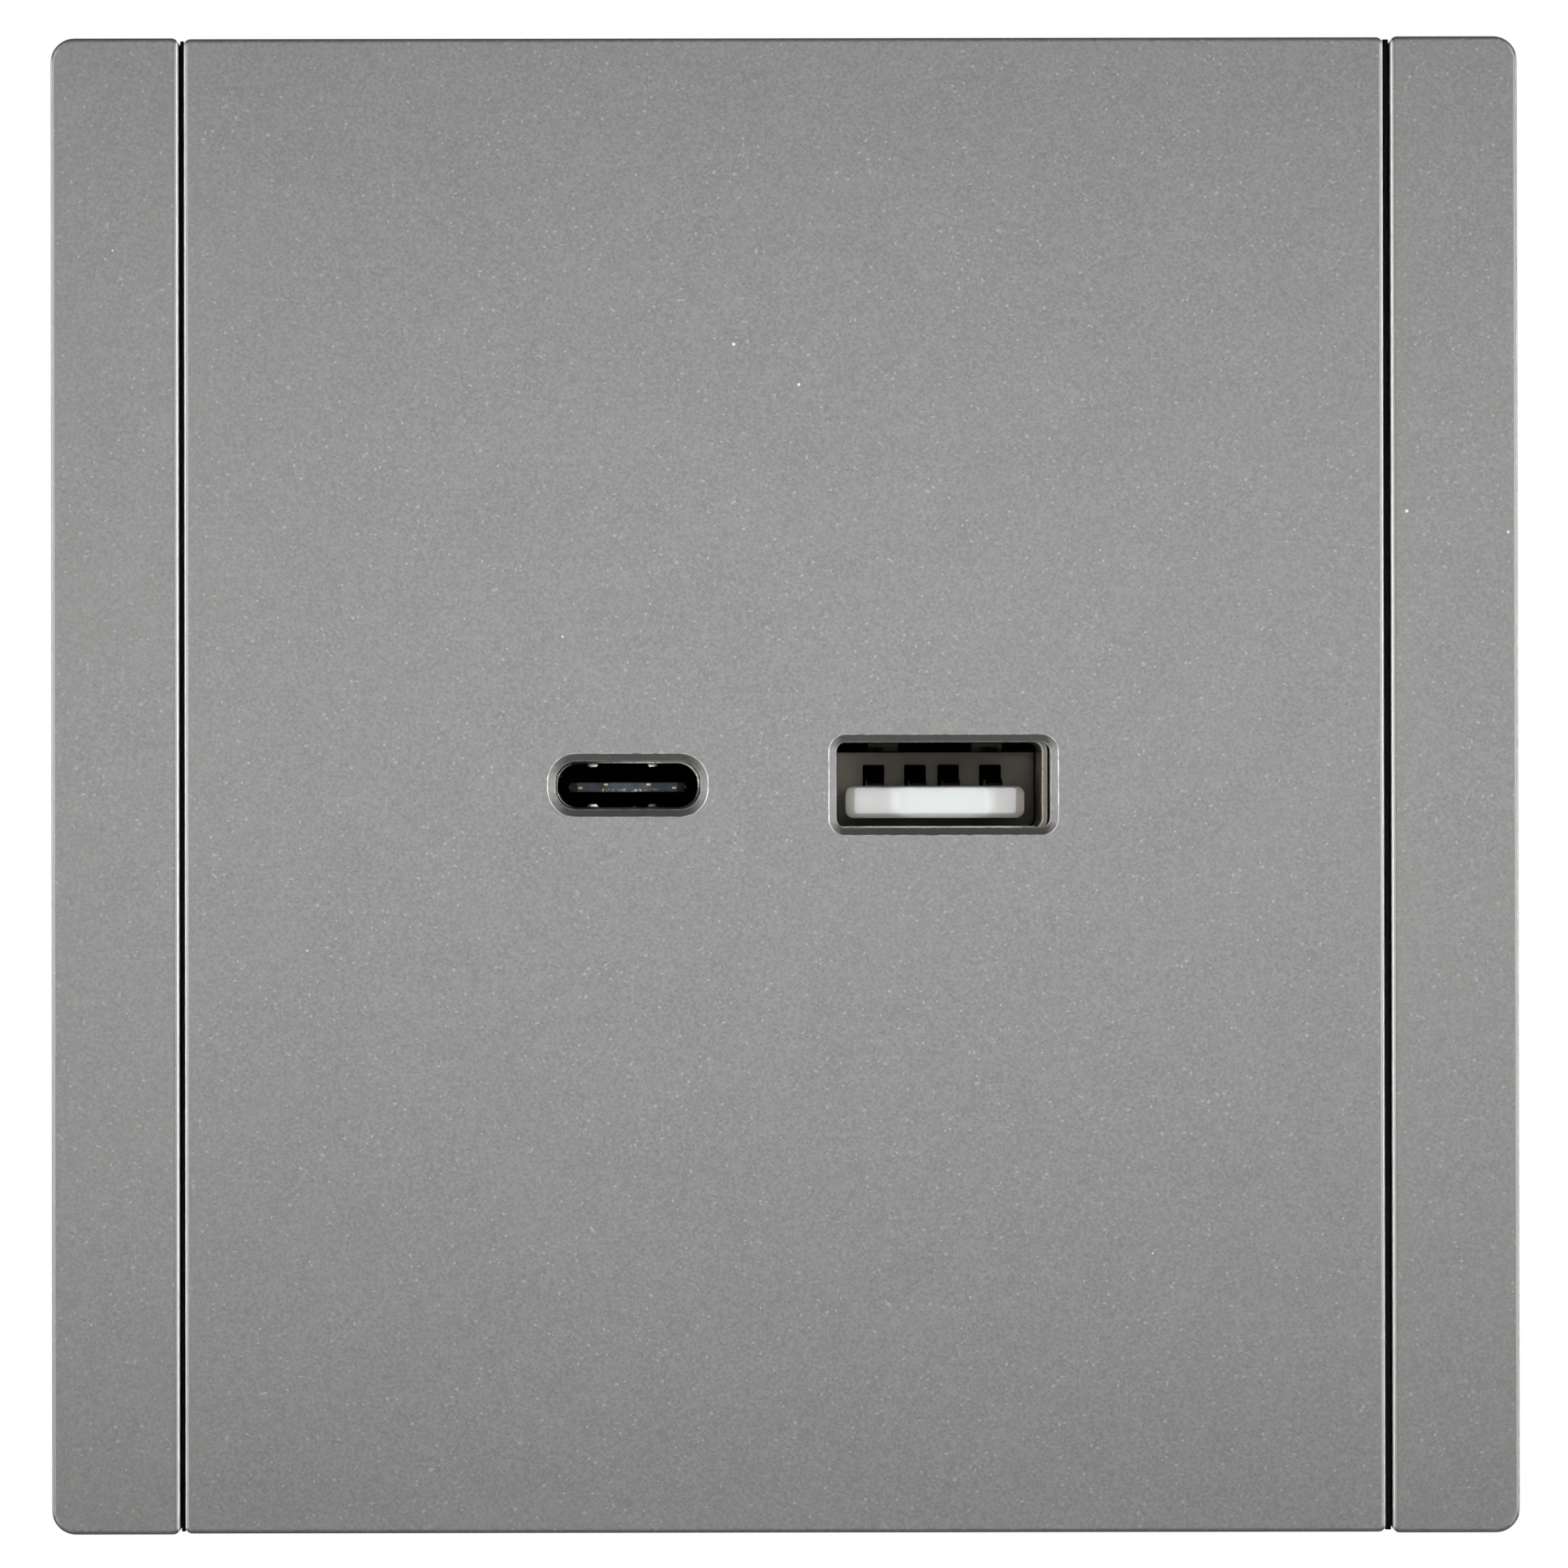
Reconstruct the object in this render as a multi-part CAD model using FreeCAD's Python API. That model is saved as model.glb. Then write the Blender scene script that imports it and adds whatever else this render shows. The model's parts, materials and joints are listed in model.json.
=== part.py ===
import FreeCAD, Part
import math
import os

# A flush wall socket with one USB-C and one USB-A charging port.
# The wall is the plane y = 0, the room is on the -Y side, +Z is up and x = 0 is the middle
# of the cover plate. All sizes are millimetres.

os.makedirs("parts", exist_ok=True)
Vec = FreeCAD.Vector
ALONG_X = Vec(1, 0, 0)
ALONG_Y = Vec(0, 1, 0)
ALONG_Z = Vec(0, 0, 1)

# The face, as it is seen from the room
front_depth = 9.5
plate_width = 69.9
plate_height = 87.1
strip_overhang = 0.05
strip_height = plate_height + 2 * strip_overhang
left_strip_width = 7.45
right_strip_width = 7.4
left_gap = 0.32
right_gap = 0.43
outer_corner = 1.4
inner_corner = 0.4
front_edge = 0.3
face_width = plate_width + left_gap + right_gap + left_strip_width + right_strip_width

# Walls of the lacquered covers
plate_wall = 1.6
strip_wall = 1.5
skirt_wall = 1.3
lip_wall = 1.2
lip_depth = 2.6
skirt_off_wall = 0.9
rib_wall = 1.0
rib_depth = 1.2
rib_off_housing = 2.95

# Port openings in the cover plate
port_spacing = 18.4
port_middle = 0.08
port_height = 0.0
port_chamfer = 0.45
port_edge = 0.08
a_open_width = 12.48
a_open_height = 4.98
a_open_corner = 0.55
c_open_width = 8.46
c_open_height = 2.8
c_open_corner = 1.2

# Black carrier frame behind the covers
carrier_inset = 0.3
carrier_flange = 0.8
carrier_base = 3.2
cover_clearance = 0.2
carrier_lip = 2.7
ridge_width = 2.6
ridge_clearance = 0.35
ridge_drop = lip_depth + ridge_clearance
rail_width = 2.4
rail_clearance = 0.2
ridge_end_gap = 0.05

# Snap arms of the plate and hooks of the strips
arm_width = 5.0
arm_wall = 1.2
arm_spacing = 44.0
arm_inset = 5.0
arm_row = plate_height / 2 - arm_inset
barb = 0.5
arm_clearance = 0.3
ledge_wall = 1.2
hook_width = 5.0
hook_wall = 0.9
hook_rows = 3
hook_pitch = 28.0
hook_barb = 0.4
hook_gap = 1.4
hook_reach = front_depth - strip_wall - carrier_base - hook_gap

# Housing of the electronics
housing_width = 50.0
housing_height = 52.0
housing_corner = 3.0
housing_wall = 1.8
housing_back_wall = 2.0
back_edge = 0.6
front_housing_wall = 1.6
front_housing_drop = 2.5
shell_clearance = 0.25
boss_radius = 3.3
boss_inset_x = 4.5
boss_inset_z = 4.5
housing_screw_radius = 1.3
housing_screw_head_radius = 2.3
housing_screw_head = 1.8
housing_screw_seat = 5.0
housing_screw_length = 10.0
head_clearance = 0.3
thread_clearance = 0.05
label_width = 22.0
label_height = 12.0
label_drop = 0.3
label_corner = 1.0

# Galvanised support plate, held on the wall box by two screws that are 60.3 mm apart
support_wall = 1.2
support_set_in = 0.1
support_inset = 4.75
support_margin = 3.0
support_width = face_width - 2 * support_inset
support_height = housing_height + 2 * support_margin
support_corner = 3.0
support_clearance = 0.2
support_flange_x = 3.0
support_flange_z = 8.0
support_open_width = housing_width - 2 * support_flange_x
support_open_height = housing_height - 2 * support_flange_z
carrier_open_width = support_width + 2 * (support_clearance - carrier_lip)
carrier_open_height = support_height + 2 * (support_clearance - carrier_lip)
fixing_inset = 7.85
fixing_spacing = support_width - 2 * fixing_inset
fixing_slot_length = 8.0
fixing_slot_width = 4.4
clip_inset_x = 11.0
clip_inset_z = 2.0
clip_spacing_x = support_width - 2 * clip_inset_x
clip_spacing_z = support_height - 2 * clip_inset_z
clip_width = 5.0
clip_wall = 1.2
clip_barb = 0.6
clip_clearance = 0.15

# Receptacles behind the openings
shell_behind_plate = 0.1
a_shift = -0.42
c_shift = -0.1
a_shell_wall = 0.32
a_inner_width = 12.4
a_inner_height = 5.1
a_shell_corner = 0.6
a_inner_depth = 10.6
a_base_depth = 2.4
a_base_relief = 0.5
a_tongue_side = 0.95
a_tongue_width = a_inner_width - 2 * a_tongue_side
a_tongue_thick = 1.84
a_tongue_top = -0.1
a_tongue_recess = 1.6
a_tongue_bevel = 0.5
a_tongue_corner = 0.5
a_contact_width = 1.0
a_contact_thick = 0.2
a_contact_hole = 1.3
a_contact_rise = 0.25
a_contact_start = 1.0
a_contact_nose = 0.4
a_contact_slope = 1.6
a_contact_flat = 1.0
a_contact_foot = 1.5
a_contact_stop = 0.2
a_tail_width = 0.6
a_contact_pitch = 2.0
a_contact_outer = 7.0
a_spring_width = 1.75
a_spring_length = 5.5
a_spring_place = 3.05
a_spring_bend = 0.55
a_spring_start = 2.2
a_spring_nose = 1.2
a_spring_slit = 0.25
a_spring_end_slit = 0.3
c_shell_wall = 0.3
c_inner_width = 8.3
c_inner_height = 2.6
c_inner_corner = 1.2
c_contact_count = 12
c_contact_pitch = 0.5
c_tongue_edge = 0.35
c_tongue_width = c_contact_count * c_contact_pitch + 2 * c_tongue_edge
c_tongue_thick = 0.56
c_tongue_round = 0.12
c_tongue_height = -0.1
c_tongue_recess = 1.2
c_base_depth = 5.0
c_contact_start = 0.8
c_contact_width = 0.26
c_contact_thick = 0.08
c_plate_thick = 0.16
c_plate_edge = 0.1
c_plate_width = c_tongue_width + 2 * c_plate_edge
c_plate_hold = 1.0
c_plate_set_back = 0.5
c_dimple_radius = 0.45
c_dimple_rise = 0.2
c_dimple_place = 1.77
c_dimple_shift = -0.27
c_dimple_depth = 2.0
leg_width = 1.6
leg_reach = 2.4
seat_clearance = 0.05
pin_reach = 0.8

# Port board
board_thick = 1.6
port_board_gap_x = 1.7
port_board_gap_z = 7.2
port_board_width = housing_width - 2 * (housing_wall + port_board_gap_x)
port_board_height = housing_height - 2 * (housing_wall + port_board_gap_z)
pillar_radius = 2.2
pillar_inset_x = 3.0
pillar_inset_z = 4.0
pillar_spacing_x = port_board_width - 2 * pillar_inset_x
pillar_spacing_z = port_board_height - 2 * pillar_inset_z
pillar_hole_rest = 0.5
board_screw_radius = 0.95
board_screw_length = 6.0
board_screw_head_radius = 1.8
board_screw_head = 1.2

# Cross recesses in the screw heads, as shares of the head's radius
recess_length = 1.2
recess_width = 0.3
recess_depth = 0.4

# Mains board
board_clearance = 0.4
board_top_clearance = 0.6
board_off_terminals = 2.0
power_board_width = housing_width - 2 * (housing_wall + board_clearance)
power_board_high = housing_height / 2 - housing_wall - board_top_clearance
power_board_to_back = 3.4
parts_gap = 4.2
ledge_width = 1.5
boss_gap = 0.4
sheet_thick = 0.25
sheet_gap = 2.6
sheet_width = power_board_width
sheet_low = -8.0
sheet_high = 17.0
sheet_ledge = 1.4

# Screw terminals, one for the line and one for the neutral
terminal_spacing = 24.0
wire_hole = 3.1
wire_funnel = 0.6
cage_width = 6.6
cage_length = 5.6
cage_side_wall = 0.8
cage_thread_wall = 1.8
cage_far_wall = 1.0
cage_travel = 3.0
cage_rest_gap = 0.2
cage_clearance = 0.3
bar_thick = 1.2
bar_width = 4.6
bar_clearance = 0.1
bar_tail = 1.2
screw_radius = 1.75
screw_head_radius = 2.8
screw_head = 2.0
screw_slot = 0.9
screw_slot_depth = 1.0
screw_slot_reach = 1.3
screw_chamfer = 0.28
screw_lip = 0.8
driver_hole = 2.1
running_clearance = 0.05
screw_gap = 0.2
terminal_block_wall = 1.6

# Parts on the mains board, each given by its place (x, z) and its sizes
core_width = 16.0
core_stack = 5.0
core_depth = 13.0
core_leg = 4.0
core_place = (-5.0, 10.4)
bobbin_wall = 0.9
bobbin_tube_wall = 0.2
winding_height = 12.4
winding_clearance = 0.3
winding_inset = 0.2
winding_corner = 1.5
can_round = 0.45
can_groove = 0.45
can_groove_out = 0.18
can_groove_height = 1.8
input_capacitor_radius = 4.0
input_capacitor_length = 12.5
input_capacitor_places = [(10.0, 13.0), (18.6, 11.0)]
output_capacitor_radius = 3.15
output_capacitor_length = 11.0
output_capacitor_places = [(-19.0, 13.4), (-19.0, 6.4)]
fuse_radius = 1.7
fuse_length = 8.0
fuse_place = (16.5, 2.5)
disc_radius = 3.6
disc_thick = 3.4
disc_place = (18.0, -4.6)
bridge_width = 6.4
bridge_height = 4.7
bridge_depth = 2.6
bridge_place = (7.5, -2.0)
choke_radius = 3.9
choke_length = 8.0
choke_groove = 1.75
choke_groove_out = 1.15
choke_place = (-1.0, -3.8)
blue_disc_radius = 3.4
blue_disc_thick = 2.6
blue_disc_place = (-9.5, -2.4)
film_width = 7.2
film_height = 4.0
film_depth = 8.0
film_place = (-17.6, -2.6)
controller_width = 4.9
controller_height = 3.9
controller_depth = 1.5
controller_place = (2.0, 4.0)
rectifier_width = 5.4
rectifier_height = 3.9
rectifier_depth = 1.1
rectifier_place = (-14.0, 11.0)
lead_radius = 0.3
lead_rise = 0.6
lying_round = 0.5
disc_round = 0.9

# Link between the boards and the small parts of the port board
link_pins = 4
link_pitch = 2.54
link_pin = 0.64
link_strip = 2.5
link_inset = 3.2
link_edge = 2.0
link_place = (0.0, power_board_high - link_inset)
port_board_top = link_place[1] + link_edge
charge_chip_size = 4.0
charge_chip_depth = 0.8
charge_chip_place = (0.0, 4.0)
chip_part_width = 1.6
chip_part_height = 0.8
chip_part_depth = 0.8
chip_part_columns = 4
chip_part_rows = 2
chip_part_pitch = 3.2
chip_part_place = (0.0, -4.0)

# Places that follow from the sizes above
FACE = -front_depth
LEFT_EDGE = -(plate_width / 2 + left_gap + left_strip_width)
RIGHT_EDGE = plate_width / 2 + right_gap + right_strip_width
PLATE_BACK = FACE + plate_wall
SKIRT_BACK = -skirt_off_wall
SHELL_FRONT = PLATE_BACK + shell_behind_plate
A_BASE_FRONT = SHELL_FRONT + a_inner_depth
PORT_BOARD_FRONT = A_BASE_FRONT + a_base_depth
PORT_BOARD_BACK = PORT_BOARD_FRONT + board_thick
SHEET_FRONT = PORT_BOARD_BACK + sheet_gap
tallest_part = max(core_depth, input_capacitor_length, output_capacitor_length, film_depth, choke_length)
POWER_BOARD_FRONT = PORT_BOARD_BACK + parts_gap + tallest_part
POWER_BOARD_BACK = POWER_BOARD_FRONT + board_thick
housing_depth = POWER_BOARD_BACK + power_board_to_back + housing_back_wall
SUPPORT_BACK = -support_set_in
SUPPORT_FRONT = SUPPORT_BACK - support_wall
A_PORT = port_middle + port_spacing / 2
C_PORT = port_middle - port_spacing / 2
A_MIDDLE = A_PORT + a_shift
C_MIDDLE = C_PORT + c_shift
HOUSING_FRONT = FACE + front_housing_drop
HOUSING_LOW = -housing_height / 2
BOSS_PLACES = [
    (side_x * (housing_width / 2 - boss_inset_x), side_z * (housing_height / 2 - boss_inset_z))
    for side_x in (-1, 1)
    for side_z in (-1, 1)
]
PILLAR_PLACES = [
    (side_x * pillar_spacing_x / 2, side_z * pillar_spacing_z / 2)
    for side_x in (-1, 1)
    for side_z in (-1, 1)
]
HOOK_HEIGHTS = [(row - (hook_rows - 1) / 2) * hook_pitch for row in range(hook_rows)]
A_CONTACT_PLACES = [
    A_MIDDLE + place
    for place in (-a_contact_outer / 2, -a_contact_pitch / 2, a_contact_pitch / 2, a_contact_outer / 2)
]

# Heights in a terminal, from the bottom of the housing upwards
HEAD_LOW = HOUSING_LOW + screw_lip + screw_gap
HEAD_HIGH = HEAD_LOW + screw_head
CAGE_LOW = HEAD_HIGH + cage_clearance + cage_travel
BAR_LOW = CAGE_LOW + cage_thread_wall + cage_rest_gap
BAR_HIGH = BAR_LOW + bar_thick
WIRE_MIDDLE = BAR_HIGH + wire_hole / 2
CAGE_HIGH = WIRE_MIDDLE + wire_hole / 2 + cage_far_wall
power_board_low = CAGE_HIGH + board_off_terminals
CAGE_BACK = housing_depth - housing_back_wall - cage_clearance
CAGE_FRONT = CAGE_BACK - cage_length
CAGE_MIDDLE = (CAGE_FRONT + CAGE_BACK) / 2
TERMINAL_PLACES = {"line": -terminal_spacing / 2, "neutral": terminal_spacing / 2}
BAR_FRONT = CAGE_FRONT - cage_clearance - terminal_block_wall


def block(x_low, x_high, y_low, y_high, z_low, z_high):
    """A box between six planes."""
    return Part.makeBox(x_high - x_low, y_high - y_low, z_high - z_low, Vec(x_low, y_low, z_low))


def slab(width, height, y_low, y_high, x=0.0, z=0.0):
    """A box given by its front outline and its depth."""
    return block(x - width / 2, x + width / 2, y_low, y_high, z - height / 2, z + height / 2)


def rod(axis, start, radius, length):
    """A cylinder from a start point along an axis."""
    return Part.makeCylinder(radius, length, start, axis)


def joined(shapes):
    """One shape from several that touch or overlap."""
    shapes = list(shapes)
    return shapes[0].multiFuse(shapes[1:]).removeSplitter()


def upright_edges(solid, x_low, x_high):
    """The edges that run along Y between two x positions."""
    found = []
    for edge in solid.Edges:
        box = edge.BoundBox
        if box.XLength < 1e-6 and box.ZLength < 1e-6 and x_low < box.XMin < x_high:
            found.append(edge)
    return found


def edges_in_plane(solid, y, reach=None):
    """The edges that lie in one y plane, or only those within reach of the middle height."""
    found = []
    for edge in solid.Edges:
        box = edge.BoundBox
        flat = abs(box.YMin - y) < 1e-6 and abs(box.YMax - y) < 1e-6
        if flat and (reach is None or max(abs(box.ZMin), abs(box.ZMax)) < reach):
            found.append(edge)
    return found


def rounded_slab(width, height, corner, y_low, y_high, x=0.0, z=0.0):
    """A box with its four edges along Y rounded."""
    solid = slab(width, height, y_low, y_high, x, z)
    corner = min(corner, 0.49 * width, 0.49 * height)
    return solid.makeFillet(corner, upright_edges(solid, x - width, x + width))


def profile_along_x(points, x_low, x_high):
    """An outline of (y, z) points, drawn out along X."""
    corners = [Vec(x_low, y, z) for y, z in points]
    outline = Part.makePolygon(corners + corners[:1])
    return Part.Face(outline).extrude(Vec(x_high - x_low, 0, 0))


def profile_along_z(points, z_low, z_high):
    """An outline of (x, y) points, drawn out along Z."""
    corners = [Vec(x, y, z_low) for x, y in points]
    outline = Part.makePolygon(corners + corners[:1])
    return Part.Face(outline).extrude(Vec(0, 0, z_high - z_low))


def slot_along_x(x, z, length, width, y_low, y_high):
    """A slot with round ends, which runs along X."""
    return rounded_slab(length, width, width / 2, y_low, y_high, x, z)


def port_opening(x, width, height, corner):
    """The space of a port opening, through the cover plate."""
    return rounded_slab(width, height, corner, FACE - 1, PLATE_BACK + 1, x, port_height)


def cover_plate():
    """The lacquered middle cover with its skirts, lips, ports, ribs and snap arms."""
    shell = rounded_slab(plate_width, plate_height, inner_corner, FACE, SKIRT_BACK)
    shell = shell.makeFillet(front_edge, edges_in_plane(shell, FACE))
    inner_width = plate_width - 2 * lip_wall
    inner_height = plate_height - 2 * skirt_wall
    shell = shell.cut(slab(inner_width, inner_height, PLATE_BACK, 0))
    shell = shell.cut(slab(plate_width + 2, inner_height, FACE + lip_depth, 0))
    for side in (-1, 1):
        shell = shell.cut(ridge_notch(side * plate_width / 2, plate_height))
    openings = [
        port_opening(A_PORT, a_open_width, a_open_height, a_open_corner),
        port_opening(C_PORT, c_open_width, c_open_height, c_open_corner),
    ]
    shell = shell.cut(openings)
    reach = port_height + a_open_height
    shell = shell.makeChamfer(port_chamfer, edges_in_plane(shell, FACE, reach))
    rims = edges_in_plane(shell, FACE, reach) + edges_in_plane(shell, FACE + port_chamfer, reach)
    shell = shell.makeFillet(port_edge, rims)
    extras = []
    for side in (-1, 1):
        rib_x = side * (housing_width / 2 + rib_off_housing)
        extras.append(slab(rib_wall, inner_height, PLATE_BACK, PLATE_BACK + rib_depth, rib_x))
        for arm_side in (-1, 1):
            extras.append(snap_arm(side * arm_spacing / 2, arm_side))
    return joined([shell] + extras)


def ridge_notch(edge_x, height):
    """The space behind the lip beside a gap, open at both ends, where a ridge of the carrier lies."""
    return slab(2 * lip_wall, height + 2, FACE + lip_depth, 0, edge_x)


def snap_arm(x, side):
    """One arm behind the cover plate, with its barb on the outer side."""
    inner = arm_row - arm_wall / 2
    outer = arm_row + arm_wall / 2
    catch = -carrier_base + ledge_wall + rail_clearance
    tip = catch + 1.5 * barb
    points = [
        (PLATE_BACK, side * inner),
        (tip, side * inner),
        (tip, side * outer),
        (catch, side * (outer + barb)),
        (catch, side * outer),
        (PLATE_BACK, side * outer),
    ]
    return profile_along_x(points, x - arm_width / 2, x + arm_width / 2)


def side_strip(side):
    """One lacquered side strip: the front, the skirts, the inner lip and the hooks."""
    if side < 0:
        outer, inner = LEFT_EDGE, LEFT_EDGE + left_strip_width
    else:
        outer, inner = RIGHT_EDGE, RIGHT_EDGE - right_strip_width
    low, high = min(outer, inner), max(outer, inner)
    shell = slab(high - low, strip_height, FACE, SKIRT_BACK, (low + high) / 2)
    shell = shell.makeFillet(outer_corner, upright_edges(shell, outer - 0.1, outer + 0.1))
    shell = shell.makeFillet(inner_corner, upright_edges(shell, inner - 0.1, inner + 0.1))
    shell = shell.makeFillet(front_edge, edges_in_plane(shell, FACE))
    pocket_inner = inner + side * lip_wall
    pocket_outer = outer - side * skirt_wall
    pocket_low, pocket_high = min(pocket_inner, pocket_outer), max(pocket_inner, pocket_outer)
    half = strip_height / 2 - skirt_wall
    back = FACE + strip_wall
    shell = shell.cut(block(pocket_low, pocket_high, back, 0, -half, half))
    past_inner = inner - side * 1.0
    open_low, open_high = min(past_inner, pocket_inner), max(past_inner, pocket_inner)
    shell = shell.cut(block(open_low, open_high, FACE + lip_depth, 0, -half, half))
    shell = shell.cut(ridge_notch(inner, strip_height))
    return joined([shell] + [strip_hook(side, z) for z in HOOK_HEIGHTS])


def rail_span(side):
    """The x positions of a rail's inner and outer face."""
    middle = (LEFT_EDGE + left_strip_width / 2) if side < 0 else (RIGHT_EDGE - right_strip_width / 2)
    return middle - side * rail_width / 2, middle + side * rail_width / 2


def strip_hook(side, z):
    """A hook behind a strip that catches in a notch of its rail."""
    rail_outer = rail_span(side)[1]
    near = rail_outer + side * rail_clearance
    far = near + side * hook_wall
    start = FACE + strip_wall
    catch = start + hook_reach - 2 * hook_barb
    points = [
        (far, start),
        (far, start + hook_reach),
        (near, start + hook_reach),
        (near - side * hook_barb, catch + hook_barb),
        (near - side * hook_barb, catch),
        (near, catch),
        (near, start),
    ]
    return profile_along_z(points, z - hook_width / 2, z + hook_width / 2)


def frame_carrier():
    """The black frame that carries the covers and lies against the wall."""
    half_height = plate_height / 2 - skirt_wall - cover_clearance
    flange = block(LEFT_EDGE + carrier_inset, RIGHT_EDGE - carrier_inset, -carrier_flange, 0,
                   -plate_height / 2 + carrier_inset, plate_height / 2 - carrier_inset)
    flange = flange.makeFillet(outer_corner, upright_edges(flange, LEFT_EDGE, RIGHT_EDGE))
    ring = block(LEFT_EDGE + skirt_wall + cover_clearance, RIGHT_EDGE - skirt_wall - cover_clearance,
                 -carrier_base, -carrier_flange, -half_height, half_height)
    parts = [flange, ring]
    for side, gap in ((-1, left_gap), (1, right_gap)):
        gap_middle = side * (plate_width / 2 + gap / 2)
        ridge_height = plate_height - 2 * ridge_end_gap
        parts.append(slab(ridge_width, ridge_height, FACE + ridge_drop, -carrier_flange, gap_middle))
        rail_inner, rail_outer = rail_span(side)
        rail_front = FACE + strip_wall + rail_clearance
        rail = slab(rail_width, 2 * half_height, rail_front, -carrier_base, (rail_inner + rail_outer) / 2)
        parts.append(rail.cut([rail_notch(side, z) for z in HOOK_HEIGHTS]))
    body = joined(parts)
    window = slab(carrier_open_width, carrier_open_height, FACE, 1)
    recess = rounded_slab(support_width + 2 * support_clearance, support_height + 2 * support_clearance,
                          support_corner, SUPPORT_FRONT, 1)
    body = body.cut([window, recess] + [cut for side in (-1, 1) for cut in arm_windows(side)])
    return joined([body] + [carrier_clip(sx, sz) for sx in (-1, 1) for sz in (-1, 1)])


def rail_notch(side, z):
    """The pocket in a rail that a strip's hook catches in."""
    rail_outer = rail_span(side)[1]
    start = FACE + strip_wall
    low = start + hook_reach - 3 * hook_barb
    depth = 2.5 * hook_barb
    xs = sorted([rail_outer - side * depth, rail_outer + side])
    reach = hook_width / 2 + rail_clearance
    return block(xs[0], xs[1], low, start + hook_reach + hook_barb, z - reach, z + reach)


def arm_windows(side):
    """The openings in the carrier that two snap arms pass through, with room for their barbs."""
    cuts = []
    for x in (-arm_spacing / 2, arm_spacing / 2):
        low = arm_row - arm_wall / 2 - arm_clearance
        high = arm_row + arm_wall / 2 + arm_clearance
        room = high + barb
        reach = arm_width / 2 + arm_clearance
        zs = sorted([side * low, side * high])
        cuts.append(block(x - reach, x + reach, FACE, 1, zs[0], zs[1]))
        zs = sorted([side * low, side * room])
        cuts.append(block(x - reach, x + reach, -carrier_base + ledge_wall, 1, zs[0], zs[1]))
    return cuts


def clip_window(side_x, side_z):
    """The window of the support plate that a carrier clip passes through."""
    return slab(clip_width + 2 * clip_clearance, clip_wall + 2 * clip_clearance, SUPPORT_FRONT - 1, 1,
                side_x * clip_spacing_x / 2, side_z * clip_spacing_z / 2)


def carrier_clip(side_x, side_z):
    """A clip of the carrier that holds the support plate from behind."""
    x = side_x * clip_spacing_x / 2
    z = side_z * clip_spacing_z / 2
    inner = z - side_z * clip_wall / 2
    outer = z + side_z * clip_wall / 2
    catch = SUPPORT_BACK + seat_clearance
    points = [
        (-carrier_base, inner),
        (catch + 2 * clip_barb, inner),
        (catch + 2 * clip_barb, outer),
        (catch, outer + side_z * clip_barb),
        (catch, outer),
        (SUPPORT_FRONT, outer),
        (SUPPORT_FRONT, outer + side_z * clip_barb),
        (-carrier_base, outer + side_z * clip_barb),
    ]
    return profile_along_x(points, x - clip_width / 2, x + clip_width / 2)


def support_plate():
    """The steel plate between the two halves of the housing, with the slots for the box screws."""
    plate = rounded_slab(support_width, support_height, support_corner, SUPPORT_FRONT, SUPPORT_BACK)
    before = SUPPORT_FRONT - 1
    cuts = [rounded_slab(support_open_width, support_open_height, support_corner, before, 1)]
    for side in (-1, 1):
        x = side * fixing_spacing / 2
        cuts.append(slot_along_x(x, 0, fixing_slot_length, fixing_slot_width, before, 1))
    for x, z in BOSS_PLACES:
        hole = housing_screw_radius + thread_clearance
        cuts.append(rod(ALONG_Y, Vec(x, before, z), hole, 1 - before))
    for side_x in (-1, 1):
        for side_z in (-1, 1):
            cuts.append(clip_window(side_x, side_z))
    return plate.cut(cuts)


def front_housing():
    """The front half of the housing, with windows for the receptacles and pillars for their board."""
    back = SUPPORT_FRONT
    shell = rounded_slab(housing_width, housing_height, housing_corner, HOUSING_FRONT, back)
    shell = shell.makeFillet(front_edge, edges_in_plane(shell, HOUSING_FRONT))
    inside_width = housing_width - 2 * housing_wall
    inside_height = housing_height - 2 * housing_wall
    wall_back = HOUSING_FRONT + front_housing_wall
    shell = shell.cut(rounded_slab(inside_width, inside_height, housing_corner - housing_wall / 2,
                                   wall_back, 0))
    adds = []
    holes = []
    for x, z in BOSS_PLACES:
        adds.append(rod(ALONG_Y, Vec(x, wall_back, z), boss_radius, back - wall_back))
        radius = housing_screw_radius + thread_clearance
        holes.append(rod(ALONG_Y, Vec(x, HOUSING_FRONT + front_housing_wall / 2, z), radius, front_depth))
    for x, z in PILLAR_PLACES:
        adds.append(rod(ALONG_Y, Vec(x, wall_back, z), pillar_radius, PORT_BOARD_FRONT - wall_back))
        depth = board_screw_length - board_thick + pillar_hole_rest
        radius = board_screw_radius + thread_clearance
        holes.append(rod(ALONG_Y, Vec(x, PORT_BOARD_FRONT - depth, z), radius, depth + 1))
    a_width = a_inner_width + 2 * (a_shell_wall + shell_clearance)
    a_height = a_inner_height + 2 * (a_shell_wall + shell_clearance)
    c_width = c_inner_width + 2 * (c_shell_wall + shell_clearance)
    c_height = c_inner_height + 2 * (c_shell_wall + shell_clearance)
    holes.append(rounded_slab(a_width, a_height, a_shell_corner + shell_clearance, FACE, 0,
                              A_MIDDLE, port_height))
    holes.append(rounded_slab(c_width, c_height, c_inner_corner + c_shell_wall + shell_clearance, FACE, 0,
                              C_MIDDLE, port_height))
    return joined([shell] + adds).cut(holes)


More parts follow.
